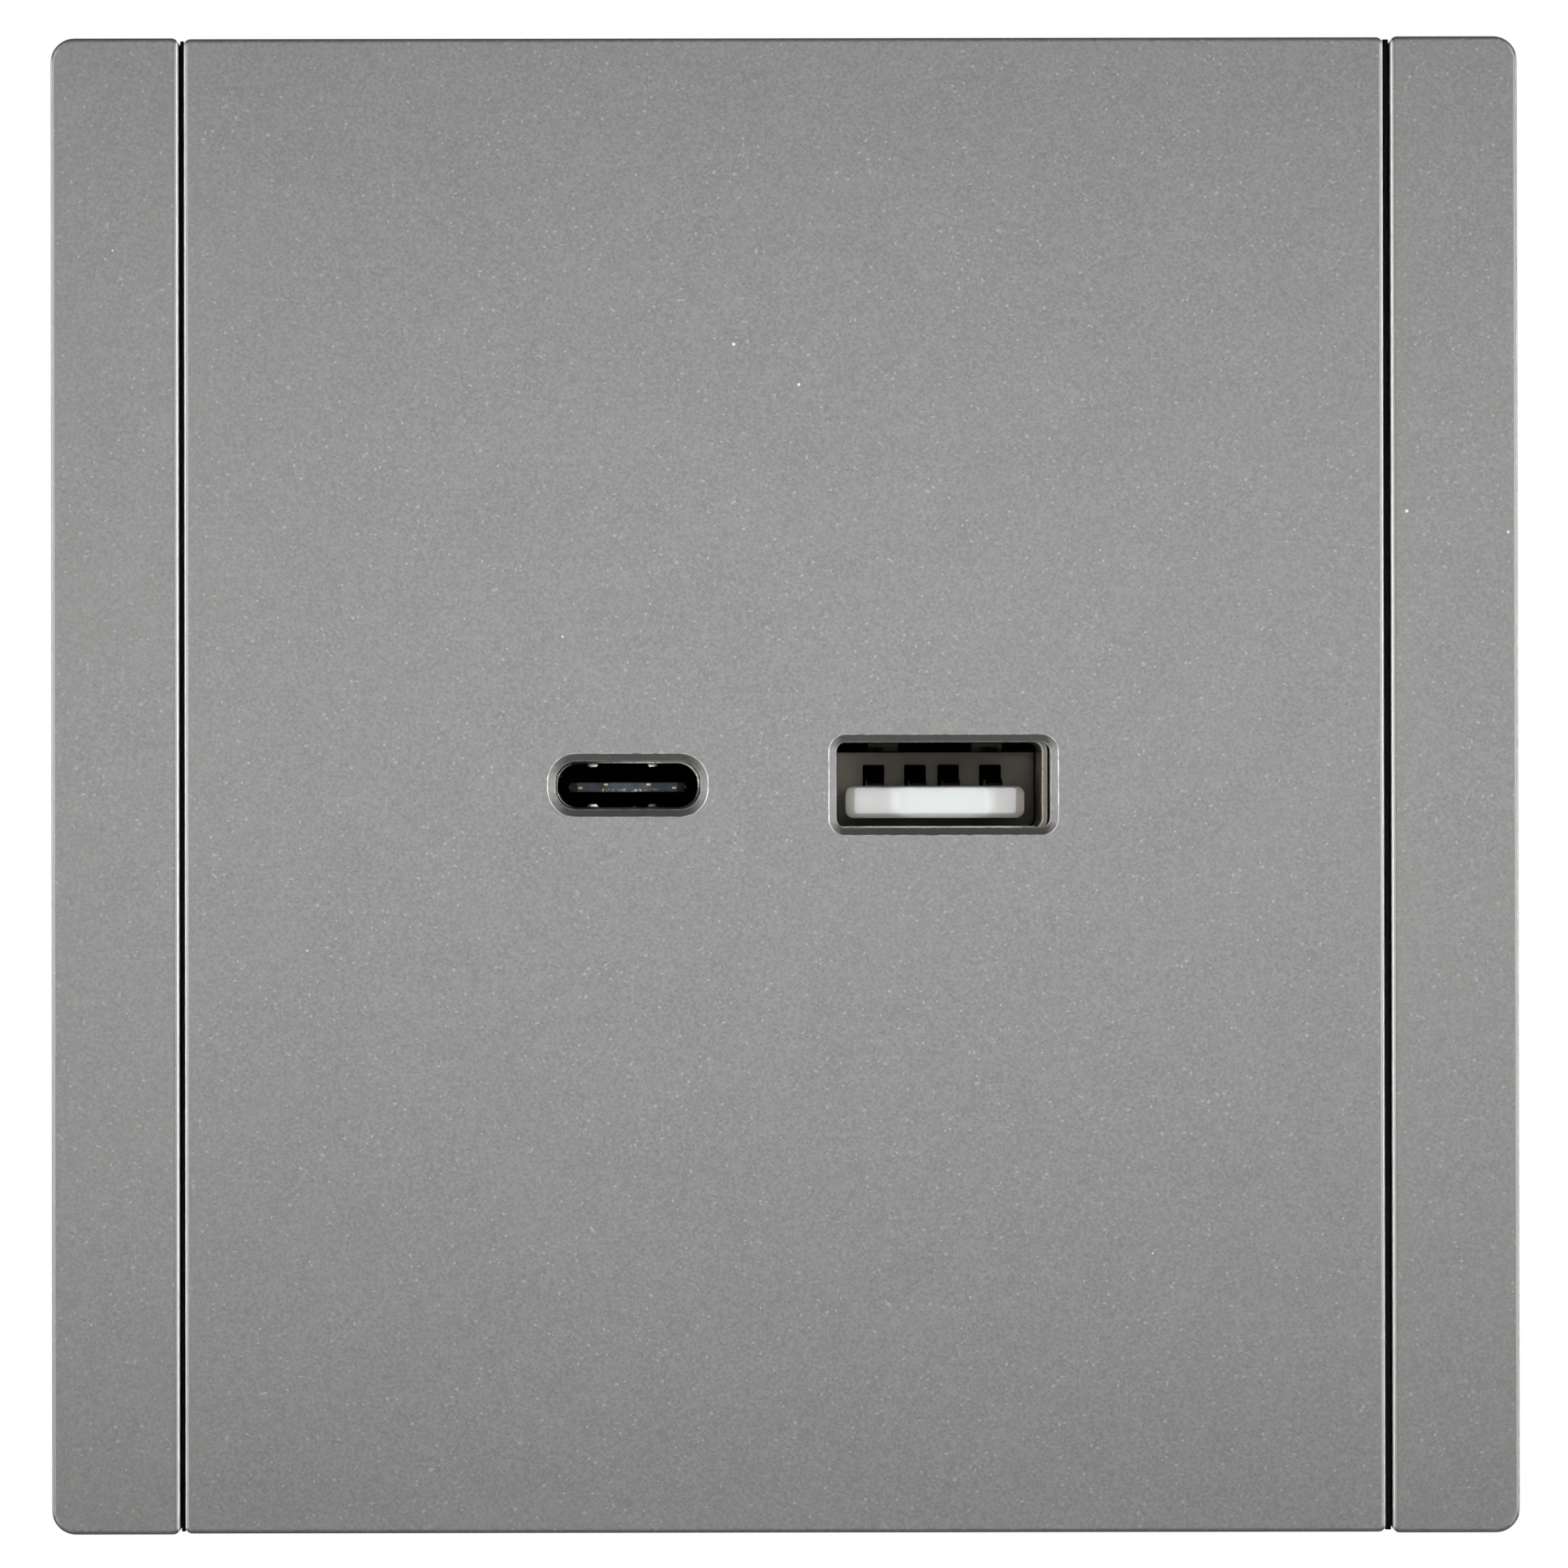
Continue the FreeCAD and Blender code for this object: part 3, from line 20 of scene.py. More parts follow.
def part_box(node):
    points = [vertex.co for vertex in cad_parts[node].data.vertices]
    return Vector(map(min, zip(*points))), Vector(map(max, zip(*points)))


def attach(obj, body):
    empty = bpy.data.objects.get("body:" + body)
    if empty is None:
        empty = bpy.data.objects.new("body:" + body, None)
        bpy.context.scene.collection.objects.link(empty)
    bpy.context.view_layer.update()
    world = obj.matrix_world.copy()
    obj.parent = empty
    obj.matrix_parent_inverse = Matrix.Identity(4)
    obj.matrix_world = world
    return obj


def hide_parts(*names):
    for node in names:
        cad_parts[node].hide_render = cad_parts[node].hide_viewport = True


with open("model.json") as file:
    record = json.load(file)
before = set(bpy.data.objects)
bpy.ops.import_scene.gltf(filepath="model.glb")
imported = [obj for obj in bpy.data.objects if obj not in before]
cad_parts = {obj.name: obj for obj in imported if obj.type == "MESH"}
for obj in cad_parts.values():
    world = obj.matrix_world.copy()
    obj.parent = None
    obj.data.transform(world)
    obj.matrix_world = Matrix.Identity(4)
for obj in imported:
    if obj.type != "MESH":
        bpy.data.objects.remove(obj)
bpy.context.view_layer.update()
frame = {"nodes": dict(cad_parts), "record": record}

LOG = logging.getLogger("usb_wall_socket")
MM = 0.001
Colour = tuple[float, float, float]
Link = bpy.types.NodeSocket
# The openings for USB-A and USB-C: the middle along X, half the width, half the height, the corner.
PORTS = (
    (9.28 * MM, 6.24 * MM, 2.49 * MM, 0.55 * MM),
    (-9.12 * MM, 4.23 * MM, 1.4 * MM, 1.2 * MM),
)


class Grain(Enum):
    """The kind of fine structure that a finish shows."""

    PLAIN = "plain"
    MOULDED = "moulded"
    BRUSHED = "brushed"
    SPANGLED = "spangled"


class Side(Enum):
    """The two poles of the mains, with the side along X on which each lies."""

    LINE = -1
    NEUTRAL = 1


class Amount:
    """A number in a shader's node tree. Its operators add Math nodes."""

    def __init__(self, graph: "Graph", link: Link) -> None:
        """Wraps an output socket."""
        self.graph = graph
        self.link = link

    def _with(self, operation: str, *others: Any) -> "Amount":
        """Adds one Math node with these operands."""
        node = self.graph.node("ShaderNodeMath", {"operation": operation}, dict(enumerate(others)))
        return Amount(self.graph, node.outputs[0])

    def __add__(self, other: Any) -> "Amount":
        """The sum."""
        return self._with("ADD", self, other)

    def __radd__(self, other: Any) -> "Amount":
        """The sum, with a plain number on the left."""
        return self._with("ADD", other, self)

    def __sub__(self, other: Any) -> "Amount":
        """The difference."""
        return self._with("SUBTRACT", self, other)

    def __rsub__(self, other: Any) -> "Amount":
        """The difference, with a plain number on the left."""
        return self._with("SUBTRACT", other, self)

    def __mul__(self, other: Any) -> "Amount":
        """The product."""
        return self._with("MULTIPLY", self, other)

    def __rmul__(self, other: Any) -> "Amount":
        """The product, with a plain number on the left."""
        return self._with("MULTIPLY", other, self)

    def __abs__(self) -> "Amount":
        """The size without its sign."""
        return self._with("ABSOLUTE", self)

    def least(self, other: "Amount") -> "Amount":
        """The smaller of two numbers."""
        return self._with("MINIMUM", self, other)

    def above(self, threshold: float, width: float) -> "Amount":
        """A soft step from 0 to 1.

        Args:
            threshold: The value at which the step starts.
            width: How much further the step ends.

        Returns:
            The step, between 0 and 1.
        """
        inputs = {"Value": self, "From Min": threshold, "From Max": threshold + width}
        node = self.graph.node("ShaderNodeMapRange", {"clamp": True}, inputs)
        return Amount(self.graph, node.outputs["Result"])

    def below(self, threshold: float, width: float) -> "Amount":
        """A soft step from 1 down to 0."""
        return 1.0 - self.above(threshold, width)


class Graph:
    """A node tree, built node by node."""

    def __init__(self, tree: bpy.types.NodeTree) -> None:
        """Empties a tree."""
        self.tree = tree
        self.tree.nodes.clear()

    def node(self, kind: str, settings: Optional[dict[str, Any]] = None,
             inputs: Optional[dict[Any, Any]] = None) -> bpy.types.Node:
        """Adds a node.

        Args:
            kind: The node's type name.
            settings: Attributes that are set first.
            inputs: Values or links by socket name or number.

        Returns:
            The new node.
        """
        node = self.tree.nodes.new(kind)
        for key, value in (settings or {}).items():
            setattr(node, key, value)
        for key, value in (inputs or {}).items():
            self.feed(node.inputs[key], value)
        return node

    def feed(self, socket: Link, value: Any) -> None:
        """Gives a socket a value, or links it.

        Args:
            socket: The input socket.
            value: A number, a colour, an Amount or an output socket.
        """
        if isinstance(value, Amount):
            value = value.link
        if isinstance(value, bpy.types.NodeSocket):
            self.tree.links.new(value, socket)
        elif socket.type == "RGBA" and len(value) == 3:
            socket.default_value = (*value, 1.0)
        else:
            socket.default_value = value

    def blend(self, factor: Any, first: Any, second: Any) -> Link:
        """Mixes two colours. The factor is the share of the second."""
        node = self.node("ShaderNodeMix", {"data_type": "RGBA"}, {0: factor, 6: first, 7: second})
        return node.outputs[2]

    def across(self, operation: str, first: Any, second: Any = (0.0, 0.0, 0.0)) -> bpy.types.Node:
        """Adds one Vector Math node."""
        return self.node("ShaderNodeVectorMath", {"operation": operation}, {0: first, 1: second})


class Recipe(Graph):
    """Builds one material from nodes."""

    def __init__(self, name: str) -> None:
        """Makes a material with only its output and its main shader.

        Args:
            name: The material's name.
        """
        self.material = bpy.data.materials.new(name)
        self.material.use_nodes = True
        super().__init__(self.material.node_tree)
        self.shader = self.node("ShaderNodeBsdfPrincipled")
        self.output = self.node("ShaderNodeOutputMaterial", inputs={"Surface": self.shader.outputs[0]})
        self.place = self.node("ShaderNodeTexCoord").outputs["Object"]

    def stretched(self, scale: Sequence[float], shift: Sequence[float] = (0, 0, 0)) -> Link:
        """The object's coordinates, scaled along each axis and then moved."""
        inputs = {"Vector": self.place, "Scale": tuple(scale), "Location": tuple(shift)}
        return self.node("ShaderNodeMapping", inputs=inputs).outputs["Vector"]

    def noise(self, size: float, detail: float = 2.0, vector: Optional[Link] = None) -> Amount:
        """Soft noise.

        Args:
            size: The size of its features in metres.
            detail: How many finer layers it has.
            vector: The coordinates, or none for the object's own.

        Returns:
            The noise, from 0 to 1.
        """
        node = self.node("ShaderNodeTexNoise", inputs={
            "Vector": vector or self.place, "Scale": 1.0 / size, "Detail": detail, "Roughness": 0.55,
        })
        return Amount(self, node.outputs[0])

    def flakes(self, size: float) -> Amount:
        """Cells that each have one random brightness, as flakes in a lacquer.

        Args:
            size: The size of a cell in metres.

        Returns:
            The brightness, from 0 to 1.
        """
        cells = self.node("ShaderNodeTexVoronoi", {"feature": "F1"}, {
            "Vector": self.place, "Scale": 1.0 / size,
        })
        grey = self.node("ShaderNodeSeparateColor", inputs={"Color": cells.outputs["Color"]})
        return Amount(self, grey.outputs[0])

    def axes(self) -> tuple[Amount, Amount, Amount]:
        """The object's three coordinates in metres."""
        parts = self.node("ShaderNodeSeparateXYZ", inputs={0: self.place}).outputs
        return Amount(self, parts[0]), Amount(self, parts[1]), Amount(self, parts[2])

    def spot(self, place: Sequence[float], radius: float) -> Amount:
        """A round spot with a soft rim: 1 in it and 0 outside it."""
        apart = self.across("DISTANCE", self.place, tuple(place)).outputs["Value"]
        return Amount(self, apart).below(0.6 * radius, 0.6 * radius)

    def bump(self, height: Amount, depth: float, strength: float = 1.0) -> Link:
        """The normal of a bump that is this many metres deep."""
        inputs = {"Height": height, "Distance": depth, "Strength": strength}
        return self.node("ShaderNodeBump", inputs=inputs).outputs["Normal"]

    def outside(self, middle: Vector, half_x: float, half_z: float, corner: float) -> Amount:
        """Measures how far a point lies outside a rectangle with round corners, seen along Y.

        Args:
            middle: The rectangle's middle.
            half_x: Half its width.
            half_z: Half its height.
            corner: The radius of its corners.

        Returns:
            The distance in metres, which is negative only just inside the corners.
        """
        flat = self.stretched((1.0, 0.0, 1.0), (-middle.x, 0.0, -middle.z))
        folded = self.across("ABSOLUTE", flat).outputs[0]
        core = (half_x - corner, 0.0, half_z - corner)
        beyond = self.across("SUBTRACT", folded, core).outputs[0]
        clipped = self.across("MAXIMUM", beyond).outputs[0]
        return Amount(self, self.across("LENGTH", clipped).outputs["Value"]) - corner

    def right(self) -> Amount:
        """1 on the USB-A port's side of the face and 0 on the USB-C port's side."""
        return self.axes()[0].above(-0.1 * MM, 0.1 * MM)

    def by_port(self, wide: Amount, small: Amount) -> Amount:
        """One amount around the USB-A port and another around the USB-C port."""
        right = self.right()
        return wide * right + small * (1.0 - right)

    def done(self, **sockets: Any) -> bpy.types.Material:
        """Sets the main shader's sockets.

        Args:
            sockets: Values or links, by the socket's name with underscores for spaces.

        Returns:
            The finished material.
        """
        for name, value in sockets.items():
            self.feed(self.shader.inputs[name.replace("_", " ")], value)
        return self.material


def middle_of(node: str) -> float:
    """The middle of a node's box along X, in metres."""
    low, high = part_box(node)
    return (low.x + high.x) / 2


@dataclass(frozen=True)
class Lacquer:
    """Grey metallic lacquer, sprayed on plastic: fine flakes, a soft orange peel and a few dust specks.

    The edges of the covers and the chamfers of the openings carry painted shade, with painted highlight lines
    along them.
    """

    name: str = "grey_lacquer"
    dark: Colour = (0.29, 0.29, 0.286)
    light: Colour = (0.452, 0.452, 0.447)
    # Dust specks; the same colour paints the highlight lines along the edges and chamfers.
    dust_and_highlight: Colour = (0.9, 0.9, 0.88)
    # Painted shade on the rounded edges and on the chamfers of the openings.
    worn: Colour = (0.15, 0.15, 0.148)
    metallic: float = 0.95
    roughness: float = 0.6
    flake: float = 0.00013
    fine: float = 0.00022
    cloud: float = 0.004
    cloud_share: float = 0.15
    glitter: float = 0.985
    glitter_tone: float = 0.16
    peel: float = 0.0007
    peel_depth: float = 0.000003
    soft: float = 0.03 * MM
    front_depth: float = 0.22 * MM
    # Where the painted highlights and the painted shade lie along the edges and chamfers, and how strong they
    # are.
    edge_highlight: float = 0.09 * MM
    edge_band: float = 0.24 * MM
    edge_shade_share: float = 0.5
    chamfer: float = 0.45 * MM
    chamfer_shade: float = 0.5
    low_side: float = -1.4 * MM
    lower_chamfer_shade: float = 0.25
    side_shade_relief: float = 0.75
    rim_highlight: float = 0.8
    rim_highlight_break: float = 0.0006
    lip_highlight_share: float = 0.6
    ports: tuple[tuple[float, float, float, float], ...] = PORTS
    specks: tuple[tuple[float, float, float], ...] = (
        (-2.91, 25.69, 0.10), (0.88, 23.33, 0.09), (36.28, 15.9, 0.11), (-12.9, 8.66, 0.06),
        (42.19, 14.67, 0.09), (21.4, -27.3, 0.05), (-27.8, -9.6, 0.05), (-39.1, 31.2, 0.05),
    )

    def build(self) -> bpy.types.Material:
        """Makes the lacquer's material.

        Returns:
            The material.
        """
        recipe = Recipe(self.name)
        cells = recipe.flakes(self.flake)
        grain = 0.5 * cells + 0.5 * recipe.noise(self.fine, 2.0)
        tone = grain * (1.0 - self.cloud_share) + recipe.noise(self.cloud, 3.0) * self.cloud_share
        colour = recipe.blend(tone, self.dark, self.light)
        colour = recipe.blend(cells.above(self.glitter, 0.01) * self.glitter_tone, colour, self.dust_and_highlight)
        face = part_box("cover_plate")[0].y
        for x, z, radius in self.specks:
            spot = recipe.spot((x * MM, face, z * MM), radius * MM)
            colour = recipe.blend(spot, colour, self.dust_and_highlight)
        apart = self._apart(recipe)
        # Painted shade on the edges and chamfers, and a painted highlight along each upright edge.
        colour = self._edge_shade_and_highlight(recipe, colour, apart, face)
        # Painted broken highlight lines along both edges of the chamfers.
        colour = recipe.blend(self._rim_highlights(recipe, apart), colour, self.dust_and_highlight)
        relief = recipe.noise(self.peel, 1.0) * 0.5 + grain * 0.5
        return recipe.done(
            Base_Color=colour, Metallic=self.metallic, Roughness=self.roughness + 0.1 * (grain - 0.5),
            Normal=recipe.bump(relief, self.peel_depth, 0.3),
        )

    def _edge_shade_and_highlight(self, recipe: Recipe, colour: Link, apart: Amount, face: float) -> Link:
        """Paints shade on the rounded edges and the chamfers, and paints a highlight line along each upright
        edge.

        Args:
            recipe: The recipe of this lacquer.
            colour: The colour so far.
            apart: The distance from the nearer port opening.
            face: The place of the face along Y.

        Returns:
            The colour with its worn edges.
        """
        nearest = self._nearest(recipe)
        _x, y, z = recipe.axes()
        front = y.below(face + self.front_depth, 0.08 * MM)
        # The band beside each upright edge that gets painted shade.
        painted_band = nearest.above(self.edge_highlight, self.soft) * nearest.below(self.edge_band, 2 * self.soft) * front
        # The share of painted shade: on the edge band, and on the chamfers, more on the lower chamfer and less
        # beside the openings.
        wear = self.chamfer_shade + self.lower_chamfer_shade * z.below(self.low_side, 0.1 * MM)
        wear = wear * (1.0 - self.side_shade_relief * self._beside(recipe))
        wear = painted_band * self.edge_shade_share + apart.below(self.chamfer, 0.02 * MM) * wear
        # The painted highlight line along each upright edge.
        line = nearest.below(self.edge_highlight, self.soft) * front
        return recipe.blend(line, recipe.blend(wear, colour, self.worn), self.dust_and_highlight)

    def _rim_highlights(self, recipe: Recipe, apart: Amount) -> Amount:
        """Paints broken highlight lines along both edges of the chamfers.

        Args:
            recipe: The recipe of this lacquer.
            apart: The distance from the nearer port opening.

        Returns:
            The lines' strength.
        """
        rim = apart.above(self.chamfer - 0.04 * MM, self.soft) * apart.below(self.chamfer, 0.04 * MM)
        lip = abs(apart).below(self.soft, 0.04 * MM)
        broken = recipe.noise(self.rim_highlight_break, 2.0).above(0.3, 0.3)
        return (rim + self.lip_highlight_share * lip) * broken * self.rim_highlight

    def _nearest(self, recipe: Recipe) -> Amount:
        """Measures how far a point lies from the nearest upright edge of a cover.

        Args:
            recipe: The recipe of this lacquer.

        Returns:
            The distance in metres.
        """
        x = recipe.axes()[0]
        edges = []
        for node in ("left_side_strip", "cover_plate", "right_side_strip"):
            edges.extend(abs(x - corner.x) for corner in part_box(node))
        return reduce(Amount.least, edges)

    def _beside(self, recipe: Recipe) -> Amount:
        """Finds what lies to the left or right of a port opening.

        Args:
            recipe: The recipe of this lacquer.

        Returns:
            1 beside the openings and 0 above, below and in them.
        """
        x = recipe.axes()[0]
        sides = [abs(x - middle).above(half - 0.6 * corner, 0.6 * corner)
                 for middle, half, _height, corner in self.ports]
        return recipe.by_port(*sides)

    def _apart(self, recipe: Recipe) -> Amount:
        """Measures how far a point lies from the nearer port opening."""
        return recipe.by_port(*(recipe.outside(Vector((x, 0.0, 0.0)), *sizes) for x, *sizes in self.ports))


@dataclass(frozen=True)
class Plastic:
    """Moulded plastic with a slight cloud in its colour and a fine surface grain."""

    name: str
    colour: Colour
    roughness: float = 0.45
    grain: Grain = Grain.MOULDED
    contrast: float = 0.12
    cloud: float = 0.004
    moulded: tuple[float, float] = (0.00018, 0.000012)
    plain: tuple[float, float] = (0.0008, 0.000003)

    def build(self) -> bpy.types.Material:
        """Makes the plastic's material.

        Returns:
            The material.
        """
        recipe = Recipe(self.name)
        cloud = recipe.noise(self.cloud, 3.0)
        darker = tuple(part * (1 - self.contrast) for part in self.colour)
        lighter = tuple(min(1.0, part * (1 + self.contrast)) for part in self.colour)
        colour = recipe.blend(cloud, darker, lighter)
        size, depth = self.moulded if self.grain is Grain.MOULDED else self.plain
        grain = recipe.noise(size, 2.0)
        rough = self.roughness + 0.12 * (grain - 0.5)
        return recipe.done(Base_Color=colour, Roughness=rough, Normal=recipe.bump(grain, depth, 0.4))


@dataclass(frozen=True)
class Metal:
    """Bare or plated metal, brushed along one axis or spangled with zinc."""

    name: str
    colour: Colour
    roughness: float = 0.3
    grain: Grain = Grain.BRUSHED
    along: tuple[float, float, float] = (1.0, 0.04, 1.0)
    shade: float = 0.72
    spangle: float = 0.0022
    speck: float = 0.0005
    line: float = 0.00012
    cloud: float = 0.001
    stain: float = 0.003
    relief: float = 0.000003

    def build(self) -> bpy.types.Material:
        """Makes the metal's material.

        Returns:
            The material.
        """
        recipe = Recipe(self.name)
        darker = tuple(part * self.shade for part in self.colour)
        if self.grain is Grain.SPANGLED:
            pattern = 0.7 * recipe.flakes(self.spangle) + 0.3 * recipe.noise(self.speck, 3.0)
        elif self.grain is Grain.BRUSHED:
            pattern = recipe.noise(self.line, 3.0, recipe.stretched(self.along))
        else:
            pattern = recipe.noise(self.cloud, 3.0)
        stain = recipe.noise(self.stain, 4.0)
        colour = recipe.blend(pattern * 0.6 + stain * 0.4, darker, self.colour)
        return recipe.done(
            Base_Color=colour, Metallic=1.0, Roughness=self.roughness + 0.22 * (pattern - 0.5),
            Normal=recipe.bump(pattern, self.relief, 0.35),
        )


@dataclass(frozen=True)
class ShellSteel:
    """Drawn steel of both receptacles' shells: smooth and dark inside, with a painted glint on the cut edge's
    burr, painted highlights on the domes, and painted shade on the springs, the mid plate and the USB-C edge.
    """

    name: str = "shell_steel"
    dark: Colour = (0.3, 0.275, 0.235)
    light: Colour = (0.46, 0.43, 0.375)
    cut: Colour = (0.46, 0.43, 0.37)
    # Painted shade on the USB-C shell's edge and on the lower right dome.
    shaded: Colour = (0.07, 0.065, 0.06)
    # Painted shade, tinted brown, on the spring leaves high inside the USB-A shell.
    spring_shade: Colour = (0.11, 0.085, 0.05)
    # Painted shade, near black, on the USB-C mid plate.
    plate_shade: Colour = (0.01, 0.01, 0.01)
    # Painted glint on the burr of the cut edge.
    burr_glint: Colour = (0.97, 0.93, 0.84)
    # Painted highlight on the pressed domes, which are also made barely metallic.
    dome_highlight: Colour = (0.95, 0.93, 0.87)
    roughness: float = 0.24
    cut_roughness: float = 0.48
    dome_roughness: float = 0.3
    plate_roughness: float = 0.6
    cut_depth: float = 0.05 * MM
    burr_glint_width: float = 0.12 * MM
    tear: float = 0.00022
    scratch: float = 0.12 * MM
    scratch_depth: float = 0.000004
    stain: float = 0.0025
    dome_depth: float = 2.0 * MM
    dome_half: float = 0.45 * MM
    dome_top: float = 1.24 * MM
    shaded_dome_from: float = 0.9 * MM
    plate_half: float = 0.5 * MM
    leaf_low: float = 2.0 * MM
    leaf_front: float = 2.5 * MM
    wide: tuple[float, float, float] = (6.2 * MM, 2.55 * MM, 0.6 * MM)
    small: tuple[float, float, float] = (4.15 * MM, 1.3 * MM, 1.2 * MM)

    def build(self) -> bpy.types.Material:
        """Makes the steel's material.

        Returns:
            The material.
        """
        recipe = Recipe(self.name)
        _x, y, z = recipe.axes()
        left = 1.0 - recipe.right()
        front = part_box("usb_c_shell")[0].y
        scratches = recipe.noise(self.scratch, 3.0, recipe.stretched((1.0, 0.06, 1.0)))
        cut = y.below(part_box("usb_a_shell")[0].y + 0.6 * self.cut_depth, 0.4 * self.cut_depth)
        # The pressed domes, which get a painted highlight.
        dome_glints = abs(y - (front + self.dome_depth)).below(self.dome_half, 0.02 * MM) * left \
            * abs(z).below(self.dome_top, 0.006 * MM)
        # The USB-C mid plate, painted near black as shade and made rough.
        plate = left * abs(z).below(self.plate_half, 0.1 * MM)
        # The spring leaves high inside the USB-A shell, which get painted shade.
        shaded_leaves = recipe.right() * z.above(self.leaf_low, 0.1 * MM) * y.above(front + self.leaf_front, 0.5 * MM)
        wall = recipe.blend(scratches * 0.6 + recipe.noise(self.stain, 4.0) * 0.4, self.dark, self.light)
        wall = recipe.blend(plate, recipe.blend(shaded_leaves, wall, self.spring_shade), self.plate_shade)
        wall = recipe.blend(dome_glints, wall, self._dome_colour(recipe))
        rough = self.roughness + 0.18 * (scratches - 0.5) + cut * (self.cut_roughness - self.roughness) \
            + dome_glints * self.dome_roughness + plate * self.plate_roughness
        # The domes' painted highlight is near-white and barely metallic.
        return recipe.done(
            Base_Color=recipe.blend(cut, wall, self._edge_colour(recipe)), Metallic=1.0 - 0.85 * dome_glints,
            Roughness=rough, Specular_IOR_Level=0.3, Normal=recipe.bump(scratches, self.scratch_depth, 0.35),
        )

    def _dome_colour(self, recipe: Recipe) -> Link:
        """Colours the pressed domes with a painted highlight, and paints shade on the lower right one.

        Args:
            recipe: The recipe of this steel.

        Returns:
            The domes' colour.
        """
        x, _y, z = recipe.axes()
        shaded_dome = x.above(middle_of("usb_c_shell") + self.shaded_dome_from, 0.1 * MM) * z.below(-0.05 * MM, 0.05 * MM)
        return recipe.blend(shaded_dome * 0.9, self.dome_highlight, self.shaded)

    def _edge_colour(self, recipe: Recipe) -> Link:
        """Colours the cut edge: a painted glint along its burr, brightest where it is torn, and painted shade
        on the USB-C shell's edge, full at its lower left.

        Args:
            recipe: The recipe of this steel.

        Returns:
            The edge's colour.
        """
        x, _y, z = recipe.axes()
        left = 1.0 - recipe.right()
        apart = recipe.by_port(*(
            recipe.outside(Vector((middle_of(node), 0.0, 0.0)), *sizes)
            for node, sizes in (("usb_a_shell", self.wide), ("usb_c_shell", self.small))
        ))
        across = (x - middle_of("usb_c_shell")) * (1.0 / self.small[0]) + z * (1.0 / self.small[1])
        # Painted shadow at the lower left of the USB-C shell's edge.
        painted_shadow = left * across.below(0.45, 0.8)
        tear = recipe.noise(self.tear, 2.0).above(0.36, 0.12)
        # Painted glint along the burr, broken where it is torn.
        burr_glint = apart.below(0.6 * self.burr_glint_width, 0.4 * self.burr_glint_width) * (0.55 + 0.45 * tear)
        # Painted shade over most of the USB-C shell's edge.
        edge = recipe.blend(left * 0.8, self.cut, self.shaded)
        return recipe.blend(painted_shadow, recipe.blend(burr_glint, edge, self.burr_glint), self.shaded)


@dataclass(frozen=True)
class Gilding:
    """Thin gold on the contacts: smooth along them, and matt and painted pale as a glint at the tips that show
    in the USB-C tongue.

    The roots of the USB-A contacts, down in the holes, are painted black as shade.
    """

    name: str = "gold_contact"
    deep: Colour = (0.42, 0.27, 0.09)
    bright: Colour = (0.72, 0.52, 0.23)
    # Painted glint at the contact tips in the USB-C tongue.
    tip: Colour = (1.0, 0.86, 0.56)
    # Painted shade, near black, on the roots of the USB-A contacts in the holes.
    root_shade: Colour = (0.006, 0.005, 0.004)
    roughness: float = 0.13
    tip_roughness: float = 0.5
    root_roughness: float = 0.6
    root_start: float = 5.0 * MM
    root_fade: float = 2.0 * MM
    tip_depth: float = 0.02 * MM
    wear: float = 0.0007
    line: float = 0.00009

    def build(self) -> bpy.types.Material:
        """Makes the gold's material.

        Returns:
            The material.
        """
        recipe = Recipe(self.name)
        wear = recipe.noise(self.wear, 3.0)
        fine = recipe.noise(self.line, 2.0, recipe.stretched((1.0, 0.1, 1.0)))
        x, y, _z = recipe.axes()
        # The tips in the USB-C tongue, which get a painted glint.
        tip = y.below(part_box("usb_c_insulator")[0].y + self.tip_depth, self.tip_depth)
        # The roots in the USB-A holes, painted black as shade and made dull.
        root_shade = y.above(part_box("usb_a_insulator")[0].y + self.root_start, self.root_fade) \
            * x.above(0.0, 0.1 * MM)
        colour = recipe.blend(wear * 0.7 + fine * 0.3, self.deep, self.bright)
        colour = recipe.blend(root_shade, colour, self.root_shade)
        rough = self.roughness + 0.08 * (fine - 0.5) + tip * (self.tip_roughness - self.roughness) \
            + root_shade * self.root_roughness
        return recipe.done(
            Base_Color=recipe.blend(tip, colour, self.tip), Metallic=1.0 - root_shade, Roughness=rough,
            Normal=recipe.bump(fine, 0.000002, 0.3),
        )


